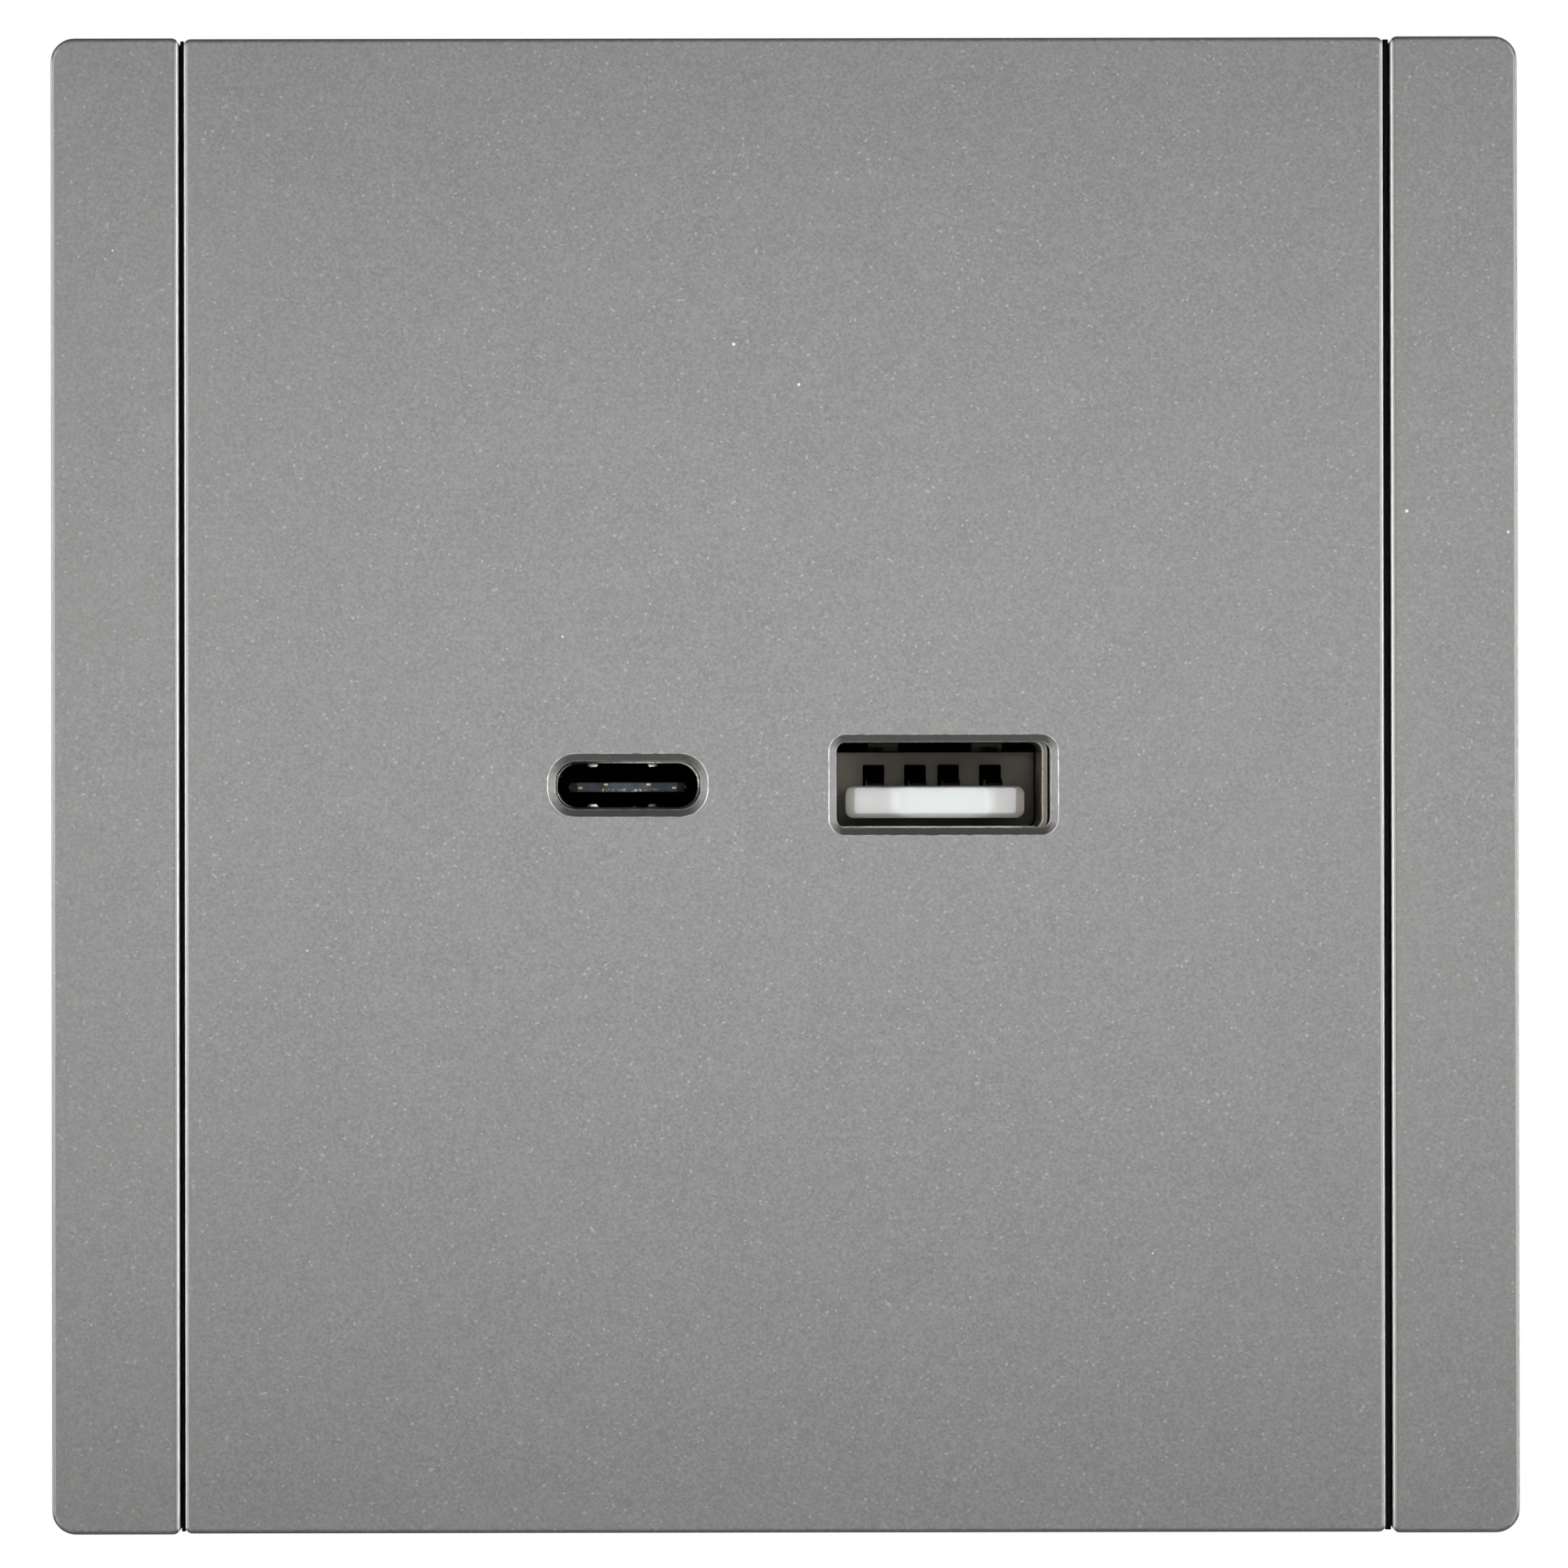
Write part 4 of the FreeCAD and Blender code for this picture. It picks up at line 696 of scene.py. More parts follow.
@dataclass(frozen=True)
class TonguePlastic:
    """White plastic of the USB-A body: glossy on the tongue, greyer and duller on the base behind it.

    The middle of the tongue's nose carries painted shade that evens out the lamps' light, its facets and upper
    rim carry painted light and shade, and the inside of the base is painted black as shade.
    """

    name: str = "white_insulator"
    white: Colour = (0.92, 0.95, 0.94)
    shade: Colour = (0.87, 0.9, 0.88)
    # Painted shade, tinted blue, on the upper rim of the nose.
    rim: Colour = (0.5, 0.58, 0.64)
    base: Colour = (0.93, 0.93, 0.87)
    # Painted shade, near black, inside the base and its holes.
    deep: Colour = (0.01, 0.01, 0.01)
    # Painted shade on the middle of the nose, which both lamps light.
    middle_shade: Colour = (0.65, 0.675, 0.67)
    # Painted light on the side facets and painted shade on the lower facet of the nose.
    side_facet_light: Colour = (0.94, 0.95, 0.95)
    low_facet_shade: Colour = (0.66, 0.66, 0.61)
    cloud: float = 0.0016
    grain: float = 0.00012
    relief: float = 0.000006
    roughness: float = 0.34
    coat: float = 0.15
    spread: float = 1.2 * MM
    middle_shade_shift: float = 0.42 * MM
    middle_shade_half: float = 2.35 * MM
    middle_shade_fade: float = 0.6 * MM
    flat_half: float = 4.7 * MM
    flat_low: float = -1.72 * MM
    rim_top: float = -0.05 * MM
    rim_height: float = 0.14 * MM
    rim_shade_share: float = 0.8
    base_front: float = 8.9 * MM
    base_back: float = 9.1 * MM
    soft: float = 0.05 * MM

    def build(self) -> bpy.types.Material:
        """Makes the plastic's material.

        Returns:
            The material.
        """
        recipe = Recipe(self.name)
        cloud = recipe.noise(self.cloud, 3.0)
        grain = recipe.noise(self.grain, 2.0)
        x, y, z = recipe.axes()
        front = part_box("usb_a_insulator")[0].y
        middle = middle_of("usb_a_insulator")
        behind = y.above(front + self.base_front, self.soft)
        colour = recipe.blend(cloud * 0.7 + grain * 0.3, self.shade, self.white)
        for share, tone in (
            # Painted shade where both lamps light the nose.
            (abs(x - (middle + self.middle_shade_shift)).below(self.middle_shade_half, self.middle_shade_fade), self.middle_shade),
            # Painted shade on the lower facet of the nose.
            (z.below(self.flat_low, 0.12 * MM), self.low_facet_shade),
            # Painted light on the side facets of the nose.
            (abs(x - middle).above(self.flat_half, 0.1 * MM), self.side_facet_light),
            # Painted shade, tinted blue, on the upper rim of the nose.
            (z.above(self.rim_top - self.rim_height, 0.5 * self.rim_height) * self.rim_shade_share, self.rim),
            (behind, self.base),
            # Painted shade, near black, inside the base and its holes.
            (y.above(front + self.base_back, self.soft), self.deep),
        ):
            colour = recipe.blend(share, colour, tone)
        return recipe.done(
            Base_Color=colour, Roughness=self.roughness + 0.1 * (grain - 0.5) + 0.2 * behind,
            Normal=recipe.bump(grain * 0.5 + cloud * 0.5, self.relief, 0.3), Coat_Weight=self.coat,
            Subsurface_Weight=1.0, Subsurface_Radius=(1.0, 1.0, 1.0), Subsurface_Scale=self.spread,
        )


@dataclass(frozen=True)
class TongueBlack:
    """Black plastic of the USB-C body, with a painted blue-grey sheen on the front of the tongue.

    Painted glints, as pale flecks, lie along the middle of the band's lower edge.
    """

    name: str = "black_insulator"
    black: Colour = (0.006, 0.006, 0.007)
    soft: Colour = (0.012, 0.012, 0.013)
    # Painted sheen, blue-grey, on the front of the tongue.
    painted_band: Colour = (0.07, 0.08, 0.092)
    band_low: Colour = (0.024, 0.028, 0.033)
    # Painted glints along the lower edge of the tongue's front.
    fleck_glint: Colour = (0.3, 0.3, 0.29)
    roughness: float = 0.55
    gloss: float = 0.16
    grain: float = 0.0001
    relief: float = 0.000005
    smear: float = 0.0005
    fleck_size: float = 0.00016
    fleck_half: float = 1.5 * MM
    fleck_top: float = 0.14 * MM
    band_half: float = 2.91 * MM
    band_depth: float = 0.16 * MM

    def build(self) -> bpy.types.Material:
        """Makes the plastic's material.

        Returns:
            The material.
        """
        recipe = Recipe(self.name)
        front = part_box("usb_c_insulator")[0].y
        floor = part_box("usb_c_contacts")[0].z
        x, y, z = recipe.axes()
        aside = abs(x - middle_of("usb_c_contacts"))
        grain = recipe.noise(self.grain, 2.0)
        # The tongue's front, which gets the painted sheen.
        shown = aside.below(self.band_half, 0.06 * MM) * y.below(front + self.band_depth, 0.05 * MM)
        smear = recipe.noise(self.smear, 2.0)
        painted_band = recipe.blend((smear * 0.5 + grain * 0.5).above(0.25, 0.5), self.band_low, self.painted_band)
        # Painted glints along the lower edge of the tongue's front.
        low = z.below(floor + self.fleck_top, 0.08 * MM) * aside.below(self.fleck_half, 0.4 * MM)
        fleck_glints = recipe.noise(self.fleck_size, 1.0).above(0.54, 0.08)
        painted_band = recipe.blend(low * fleck_glints, painted_band, self.fleck_glint)
        body = recipe.blend(grain, self.black, self.soft)
        return recipe.done(
            Base_Color=recipe.blend(shown, body, painted_band), Roughness=self.roughness + 0.12 * (grain - 0.5),
            Normal=recipe.bump(grain, self.relief, 0.3), Specular_IOR_Level=self.gloss,
        )


@dataclass(frozen=True)
class Laminate:
    """A circuit board with tracks under its mask."""

    name: str
    mask: Colour
    track: Colour
    pitch: float = 0.0026
    line: float = 0.07
    warp: float = 0.006
    weave: float = 0.0004
    relief: float = 0.00002
    roughness: float = 0.38

    def build(self) -> bpy.types.Material:
        """Makes the board's material.

        Returns:
            The material.
        """
        recipe = Recipe(self.name)
        warp = recipe.noise(self.warp, 1.0)
        cells = recipe.node("ShaderNodeTexVoronoi", {"feature": "DISTANCE_TO_EDGE", "distance": "EUCLIDEAN"}, {
            "Vector": recipe.place, "Scale": 1.0 / self.pitch, "Randomness": 0.55,
        })
        track = Amount(recipe, cells.outputs["Distance"]).above(self.line, 0.02)
        weave = recipe.noise(self.weave, 1.0)
        return recipe.done(
            Base_Color=recipe.blend(track * 0.75 + warp * 0.15, self.mask, self.track),
            Roughness=self.roughness + 0.15 * (weave - 0.5), Normal=recipe.bump(track, self.relief, 0.4),
        )


@dataclass(frozen=True)
class Wound:
    """Tape or wire laid in even turns."""

    name: str
    low: Colour
    high: Colour
    turn: float = 0.0004
    metallic: float = 0.0
    roughness: float = 0.35
    uneven: float = 0.4

    def build(self) -> bpy.types.Material:
        """Makes the winding's material.

        Returns:
            The material.
        """
        recipe = Recipe(self.name)
        # At scale 1 the texture's bands repeat every 2 pi / 20 units.
        scale = 2 * math.pi / self.turn / 20.0
        wave = recipe.node("ShaderNodeTexWave", {"wave_type": "BANDS", "bands_direction": "Y"}, {
            "Vector": recipe.place, "Scale": scale, "Distortion": self.uneven, "Detail": 1.0,
        })
        height = Amount(recipe, wave.outputs["Fac"])
        return recipe.done(
            Base_Color=recipe.blend(height, self.low, self.high), Roughness=self.roughness,
            Metallic=self.metallic, Normal=recipe.bump(height, self.turn * 0.4, 0.6),
        )


FINISHES: dict[str, Any] = {
    "grey_lacquer": Lacquer(),
    "black_plastic": Plastic("black_plastic", (0.012, 0.012, 0.013), 0.5),
    "zinc_steel": Metal("zinc_steel", (0.66, 0.67, 0.68), 0.38, Grain.SPANGLED),
    "white_plastic": Plastic("white_plastic", (0.72, 0.72, 0.7), 0.48),
    "dark_housing": Plastic("dark_housing", (0.028, 0.029, 0.031), 0.42),
    "screw_steel": Metal("screw_steel", (0.62, 0.62, 0.6), 0.3, Grain.PLAIN),
    "shell_steel": ShellSteel(),
    "white_insulator": TonguePlastic(),
    "black_insulator": TongueBlack(),
    "gold_contact": Gilding(),
    "board_green": Laminate("board_green", (0.012, 0.13, 0.05), (0.03, 0.24, 0.09)),
    "board_tan": Laminate("board_tan", (0.42, 0.29, 0.13), (0.55, 0.4, 0.2)),
    "chip_black": Plastic("chip_black", (0.02, 0.02, 0.021), 0.5),
    "chip_tan": Plastic("chip_tan", (0.4, 0.28, 0.16), 0.4, Grain.PLAIN),
    "sheet_white": Plastic("sheet_white", (0.78, 0.78, 0.75), 0.35, Grain.PLAIN, 0.04),
    "pin_tin": Metal("pin_tin", (0.74, 0.73, 0.7), 0.3, Grain.PLAIN),
    "ferrite": Plastic("ferrite", (0.035, 0.035, 0.04), 0.55, Grain.PLAIN, 0.3),
    "bobbin_black": Plastic("bobbin_black", (0.02, 0.02, 0.02), 0.4),
    "tape_yellow": Wound("tape_yellow", (0.55, 0.36, 0.02), (0.8, 0.58, 0.05), 0.0011),
    "sleeve_black": Plastic("sleeve_black", (0.015, 0.017, 0.03), 0.22, Grain.PLAIN),
    "can_aluminium": Metal("can_aluminium", (0.78, 0.78, 0.79), 0.28, Grain.BRUSHED, (1.0, 0.05, 1.0)),
    "sleeve_green": Plastic("sleeve_green", (0.06, 0.24, 0.12), 0.5),
    "dip_blue": Plastic("dip_blue", (0.03, 0.1, 0.36), 0.25, Grain.PLAIN, 0.15),
    "dip_orange": Plastic("dip_orange", (0.55, 0.2, 0.03), 0.28, Grain.PLAIN, 0.15),
    "film_yellow": Plastic("film_yellow", (0.62, 0.43, 0.06), 0.35, Grain.PLAIN, 0.08),
    "choke_wire": Wound("choke_wire", (0.2, 0.06, 0.015), (0.6, 0.24, 0.08), 0.0004, 0.7),
    "tinned_brass": Metal("tinned_brass", (0.72, 0.66, 0.52), 0.34, Grain.BRUSHED),
    "cage_steel": Metal("cage_steel", (0.6, 0.6, 0.58), 0.36, Grain.SPANGLED),
}


class Finisher:
    """Makes each finish once and gives it to the pieces."""

    def __init__(self) -> None:
        """Starts with no material made."""
        self.made: dict[str, bpy.types.Material] = {}

    def material(self, slot: str) -> bpy.types.Material:
        """The material of a slot.

        Args:
            slot: The record's material slot.

        Returns:
            Its material, made when it is first asked for.
        """
        if slot not in self.made:
            self.made[slot] = FINISHES[slot].build()
        return self.made[slot]

    def dress(self, piece: bpy.types.Object, slot: str) -> None:
        """Gives a piece one material."""
        piece.data.materials.clear()
        piece.data.materials.append(self.material(slot))


def node_slots() -> dict[str, str]:
    """The material slot of each node, as the record says."""
    return {row["node"]: row["material_slot"] for row in frame["record"]["subparts"]}


def node_bodies() -> dict[str, str]:
    """The body of each node, as the record says."""
    bodies = frame["record"]["behaviour"]["bodies"]
    return {node: body for body, nodes in bodies.items() for node in nodes}


class Builder:
    """Adds pieces to the scene and ties each to its body and slot."""

    def __init__(self) -> None:
        """Reads the nodes' slots and bodies."""
        self.finisher = Finisher()
        self.slots = node_slots()
        self.bodies = node_bodies()

    def add(self, name: str, mesh: bpy.types.Mesh, body: str, slot: str,
            replaced: Iterable[str] = ()) -> bpy.types.Object:
        """Adds one piece.

        Args:
            name: The piece's name.
            mesh: Its mesh, in the frame's own place.
            body: The body that it rides on.
            slot: The record's material slot.
            replaced: The nodes that it stands for.

        Returns:
            The new object.
        """
        piece = bpy.data.objects.new(name, mesh)
        bpy.context.scene.collection.objects.link(piece)
        self.finisher.dress(piece, slot)
        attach(piece, body)
        for node in replaced:
            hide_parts(node)
        LOG.info("%s: %d faces on %s", name, len(mesh.polygons), body)
        return piece

    def smooth_copy(self, node: str, angle: float = 35.0) -> bpy.types.Object:
        """A copy of a node with joined points and smooth shading, in place of the node."""
        mesh = shade(merged_mesh(frame["nodes"][node], node + "_surface"), angle)
        return self.add(node + "_surface", mesh, self.bodies[node], self.slots[node], [node])

    def keep(self, node: str) -> None:
        """Gives a node that stays its finish."""
        self.finisher.dress(frame["nodes"][node], self.slots[node])


def merged_mesh(source: bpy.types.Object, name: str) -> bpy.types.Mesh:
    """A copy of an object's mesh with its doubled points joined.

    Args:
        source: The object.
        name: The new mesh's name.

    Returns:
        The new mesh.
    """
    mesh = source.data.copy()
    mesh.name = name
    shape = bmesh.new()
    shape.from_mesh(mesh)
    bmesh.ops.remove_doubles(shape, verts=shape.verts, dist=0.5e-6)
    bmesh.ops.dissolve_degenerate(shape, edges=shape.edges, dist=1e-7)
    shape.to_mesh(mesh)
    shape.free()
    return mesh


def flat_areas(shape: bmesh.types.BMesh, turn: float = 0.3) -> list[float]:
    """The area of the flat patch that each face is part of.

    Args:
        shape: The mesh.
        turn: Neighbours that differ by less than this many degrees lie in one patch.

    Returns:
        The areas, by face number.
    """
    areas = [0.0] * len(shape.faces)
    done = [False] * len(shape.faces)
    limit = math.radians(turn)
    for start in shape.faces:
        if done[start.index]:
            continue
        patch = [start]
        done[start.index] = True
        for face in patch:
            for edge in face.edges:
                if len(edge.link_faces) != 2 or edge.calc_face_angle(math.pi) > limit:
                    continue
                for other in edge.link_faces:
                    if not done[other.index]:
                        done[other.index] = True
                        patch.append(other)
        area = sum(face.calc_area() for face in patch)
        for face in patch:
            areas[face.index] = area
    return areas


def shade(mesh: bpy.types.Mesh, angle: float) -> bpy.types.Mesh:
    """Smooth shading with sharp edges, where large flat faces keep their own direction.

    Args:
        mesh: The mesh.
        angle: Edges that turn by more than this many degrees stay sharp.

    Returns:
        The same mesh, shaded.
    """
    shape = bmesh.new()
    shape.from_mesh(mesh)
    shape.normal_update()
    shape.faces.ensure_lookup_table()
    areas = flat_areas(shape)
    limit = math.cos(math.radians(angle))
    normals = []
    for face in shape.faces:
        for loop in face.loops:
            total = Vector((0.0, 0.0, 0.0))
            for near in loop.vert.link_faces:
                if near.normal.dot(face.normal) > limit:
                    total += near.normal * areas[near.index]
            normals.append((total if total.length > 0.0 else face.normal).normalized())
    shape.free()
    mesh.shade_smooth()
    mesh.normals_split_custom_set(normals)
    return mesh


def outline(middle: Vector, width: float, height: float, corner: float, steps: int = 6) -> list[Vector]:
    """Points around a rectangle with round corners, in a plane square to Y.

    Args:
        middle: The rectangle's middle.
        width: Its size along X.
        height: Its size along Z.
        corner: The radius of its corners.
        steps: How many edges each corner has.

    Returns:
        The points, in order.
    """
    points = []
    core_x, core_z = width / 2 - corner, height / 2 - corner
    for quarter, (side_x, side_z) in enumerate(((1, 1), (-1, 1), (-1, -1), (1, -1))):
        centre = middle + Vector((side_x * core_x, 0.0, side_z * core_z))
        for step in range(steps + 1):
            angle = math.pi / 2 * (quarter + step / steps)
            points.append(centre + corner * Vector((math.cos(angle), 0.0, math.sin(angle))))
    return points


def loft(name: str, rings: Sequence[Sequence[Vector]]) -> bpy.types.Mesh:
    """A closed skin over rings that have equal numbers of points.

    Args:
        name: The mesh's name.
        rings: The rings, in order.

    Returns:
        The mesh.
    """
    shape = bmesh.new()
    rows = [[shape.verts.new(point) for point in ring] for ring in rings]
    for row, following in zip(rows, rows[1:]):
        for here in range(len(row)):
            there = (here + 1) % len(row)
            shape.faces.new((row[here], row[there], following[there], following[here]))
    shape.faces.new(rows[0])
    shape.faces.new(rows[-1])
    bmesh.ops.recalc_face_normals(shape, faces=shape.faces)
    mesh = bpy.data.meshes.new(name)
    shape.to_mesh(mesh)
    shape.free()
    return mesh


def pierced_plate(name: str, rim: Sequence[Vector], holes: Sequence[Sequence[Vector]], depth: float,
                  edge: float) -> bpy.types.Mesh:
    """A plate with holes, made from a flat curve and stood up square to Y.

    Args:
        name: The mesh's name.
        rim: The points around the plate, which give its place in X and Z and its front in Y.
        holes: The points around each hole.
        depth: The plate's thickness, towards +Y.
        edge: The radius of its edges.

    Returns:
        The mesh.
    """
    curve = bpy.data.curves.new(name, "CURVE")
    curve.dimensions = "2D"
    curve.fill_mode = "BOTH"
    curve.extrude = depth / 2 - edge
    curve.bevel_depth = edge
    curve.bevel_resolution = 1
    curve.offset = -edge
    for loop in (rim, *holes):
        spline = curve.splines.new("POLY")
        spline.points.add(len(loop) - 1)
        for point, place in zip(spline.points, loop):
            point.co = (place.x, place.z, 0.0, 1.0)
        spline.use_cyclic_u = True
    host = bpy.data.objects.new(name, curve)
    bpy.context.scene.collection.objects.link(host)
    mesh = bpy.data.meshes.new_from_object(host.evaluated_get(bpy.context.evaluated_depsgraph_get()))
    bpy.data.objects.remove(host)
    stood = Matrix.Rotation(math.pi / 2, 4, "X")
    mesh.transform(Matrix.Translation((0.0, rim[0].y + depth / 2, 0.0)) @ stood)
    mesh.name = name
    return mesh


def joined(name: str, meshes: Sequence[bpy.types.Mesh]) -> bpy.types.Mesh:
    """One mesh that holds several.

    Args:
        name: The new mesh's name.
        meshes: The meshes, which are used up.

    Returns:
        The new mesh.
    """
    shape = bmesh.new()
    for mesh in meshes:
        shape.from_mesh(mesh)
        bpy.data.meshes.remove(mesh)
    whole = bpy.data.meshes.new(name)
    shape.to_mesh(whole)
    shape.free()
    return whole


class Plan(Graph):
    """A Geometry Nodes tree, built node by node."""

    def __init__(self, name: str, sizes: dict[str, tuple[str, Any]]) -> None:
        """Makes a tree with named inputs.

        Args:
            name: The tree's name.
            sizes: The kind and the value of each input, by its name.
        """
        super().__init__(bpy.data.node_groups.new(name, "GeometryNodeTree"))
        self.sizes = sizes
        self.tree.interface.new_socket("Geometry", in_out="OUTPUT", socket_type="NodeSocketGeometry")
        for key, (kind, _value) in sizes.items():
            self.tree.interface.new_socket(key, in_out="INPUT", socket_type="NodeSocket" + kind)
        self.inputs = self.tree.nodes.new("NodeGroupInput")
        self.output = self.tree.nodes.new("NodeGroupOutput")

    def node(self, kind: str, settings: Optional[dict[str, Any]] = None,
             inputs: Optional[dict[Any, Any]] = None) -> bpy.types.Node:
        """Adds a node."""
        prefix = "" if kind.startswith(("Function", "Shader")) else "GeometryNode"
        return super().node(prefix + kind, settings, inputs)

    def copies(self, piece: Link, places: Iterable[Sequence[float]], shares: Iterable[float]) -> Link:
        """Sets copies of a piece.

        Args:
            piece: The piece's geometry.
            places: The place of each copy.
            shares: The size of each copy, as a share of the piece's.

        Returns:
            The geometry of all the copies.
        """
        together = self.node("JoinGeometry")
        for place, share in zip(places, shares):
            moved = self.node("Transform", inputs={
                "Geometry": piece, "Translation": place, "Scale": (share, share, share),
            })
            self.tree.links.new(moved.outputs[0], together.inputs[0])
        return together.outputs[0]

    def size(self, name: str) -> Link:
        """The socket of a named input."""
        return self.inputs.outputs[name]

    def finish(self, geometry: Link, material: bpy.types.Material, name: str) -> bpy.types.Mesh:
        """Ends the tree, runs it and gives its plain mesh.

        Args:
            geometry: What the tree makes.
            material: The material that it sets.
            name: The mesh's name.

        Returns:
            The mesh.
        """
        real = self.node("RealizeInstances", inputs={0: geometry})
        dressed = self.node("SetMaterial", inputs={"Geometry": real.outputs[0], "Material": material})
        self.tree.links.new(dressed.outputs[0], self.output.inputs[0])
        host = bpy.data.objects.new(name, bpy.data.meshes.new(name))
        bpy.context.scene.collection.objects.link(host)
        modifier = host.modifiers.new("plan", "NODES")
        modifier.node_group = self.tree
        for item in self.tree.interface.items_tree:
            if item.in_out == "INPUT":
                modifier[item.identifier] = self.sizes[item.name][1]
        evaluated = host.evaluated_get(bpy.context.evaluated_depsgraph_get())
        mesh = bpy.data.meshes.new_from_object(evaluated)
        host.modifiers.remove(modifier)
        bpy.data.objects.remove(host)
        mesh.name = name
        return mesh


@dataclass
class Thread:
    """The thread of one or more equal screws, as a ridge that winds around each shank."""

    name: str
    radius: float
    pitch: float
    length: float
    places: Sequence[Vector]
    along_y: bool
    ridge: float = 0.28

    def mesh(self, material: bpy.types.Material) -> bpy.types.Mesh:
        """Winds the ridge and sets it on each screw.

        Args:
            material: The screws' material.

        Returns:
            The mesh of all the ridges.
        """
        sizes = {
            "Radius": ("Float", self.radius),
            "Length": ("Float", self.length),
            "Turns": ("Float", self.length / self.pitch),
            "Ridge": ("Float", self.pitch * self.ridge),
        }
        plan = Plan(self.name + "_plan", sizes)
        spiral = plan.node("CurveSpiral", inputs={
            "Resolution": 20, "Rotations": plan.size("Turns"), "Start Radius": plan.size("Radius"),
            "End Radius": plan.size("Radius"), "Height": plan.size("Length"), "Reverse": False,
        })
        profile = plan.node("CurvePrimitiveCircle", inputs={"Resolution": 4, "Radius": plan.size("Ridge")})
        ridge = plan.node("CurveToMesh", inputs={
            "Curve": spiral.outputs[0], "Profile Curve": profile.outputs[0], "Fill Caps": True,
        })
        turn = (-math.pi / 2, 0.0, 0.0) if self.along_y else (0.0, 0.0, 0.0)
        turned = plan.node("Transform", inputs={"Geometry": ridge.outputs[0], "Rotation": turn})
        copies = plan.copies(turned.outputs[0], self.places, [1.0] * len(self.places))
        return plan.finish(copies, material, self.name)


@dataclass
class Joints:
    """Solder joints on the back of a board: small cones on a jittered grid."""

    name: str
    low: Vector
    high: Vector
    count_x: int
    count_z: int
    radius: float = 0.0008
    tip_radius: float = 0.00022
    height: float = 0.0007
    jitter: float = 0.0011
    share: float = 0.62
    seed: int = 7

    def mesh(self, material: bpy.types.Material) -> bpy.types.Mesh:
        """Sets the cones.

        Args:
            material: The solder's material.

        Returns:
            The mesh of all the joints.
        """
        middle = (self.low + self.high) / 2
        span = self.high - self.low
        sizes = {
            "Width": ("Float", span.x),
            "Height": ("Float", span.z),
            "Joint Radius": ("Float", self.radius),
            "Joint Height": ("Float", self.height),
            "Seed": ("Int", self.seed),
        }
        plan = Plan(self.name + "_plan", sizes)
        grid = plan.node("MeshGrid", inputs={
            "Size X": plan.size("Width"), "Size Y": plan.size("Height"),
            "Vertices X": self.count_x, "Vertices Y": self.count_z,
        })
        jitter = plan.node("FunctionNodeRandomValue", {"data_type": "FLOAT_VECTOR"}, {
            0: (-self.jitter, -self.jitter, 0.0), 1: (self.jitter, self.jitter, 0.0),
            "Seed": plan.size("Seed"),
        })
        moved = plan.node("SetPosition", inputs={"Geometry": grid.outputs[0], "Offset": jitter.outputs[0]})
        chosen = plan.node("FunctionNodeRandomValue", {"data_type": "BOOLEAN"}, {
            "Probability": self.share, "Seed": plan.size("Seed"),
        })
        cone = plan.node("MeshCone", inputs={
            "Vertices": 14, "Side Segments": 3, "Radius Top": self.tip_radius,
            "Radius Bottom": plan.size("Joint Radius"), "Depth": plan.size("Joint Height"),
        })
        placed = plan.node("InstanceOnPoints", inputs={
            "Points": moved.outputs[0], "Instance": cone.outputs[0], "Selection": chosen.outputs[3],
        })
        turned = plan.node("Transform", inputs={
            "Geometry": placed.outputs[0], "Rotation": (-math.pi / 2, 0.0, 0.0),
            "Translation": (middle.x, self.low.y, middle.z),
        })
        return plan.finish(turned.outputs[0], material, self.name)


@dataclass
class Covers:
    """The lacquered cover plate and the two side strips."""

    builder: Builder

    def build(self) -> None:
        """Rebuilds the three covers with smooth edges."""
        for node in ("cover_plate", "left_side_strip", "right_side_strip"):
            self.builder.smooth_copy(node, 50.0)


@dataclass
class Carrier:
    """The black frame with the thin black fins that put painted shade in the gaps, and the support plate."""

    builder: Builder
    fin_drop: float = 0.9 * MM
    fin_depth: float = 3.2 * MM
    fin_play: float = 0.05 * MM
    fin_edge: float = 0.03 * MM
    fin_short: float = 0.1 * MM

    def build(self) -> None:
        """Rebuilds the frame and the plate with smooth edges and adds the black fins, as painted shade in the
        gaps.
        """
        self.builder.smooth_copy("frame_carrier", 30.0)
        self.builder.smooth_copy("support_plate", 30.0)
        # Black fins in the gaps, as painted shade.
        self.builder.add("gap_fins", self._fins(), "socket", "black_plastic")

    def _fins(self) -> bpy.types.Mesh:
        """Builds the upright black fin in each gap between the cover plate and a side strip, which stands for
        the rib there and adds painted shade.

        Returns:
            The mesh of both fins.
        """
        low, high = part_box("cover_plate")
        left_edge, right_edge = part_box("left_side_strip")[1].x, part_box("right_side_strip")[0].x
        height = high.z - low.z - self.fin_short
        steps = ((self.fin_drop, self.fin_edge), (self.fin_drop + self.fin_edge, 0.0), (self.fin_depth, 0.0))
        fins = []
        for near, far in ((left_edge, low.x), (high.x, right_edge)):
            middle = Vector(((near + far) / 2, low.y, (low.z + high.z) / 2))
            width = far - near - 2 * self.fin_play
            rings = []
            for depth, inset in steps:
                place = middle + Vector((0.0, depth, 0.0))
                rings.append(outline(place, width - 2 * inset, height - 2 * inset, self.fin_edge, 2))
            fins.append(loft("fin", rings))
        return shade(joined("gap_fins", fins), 30.0)


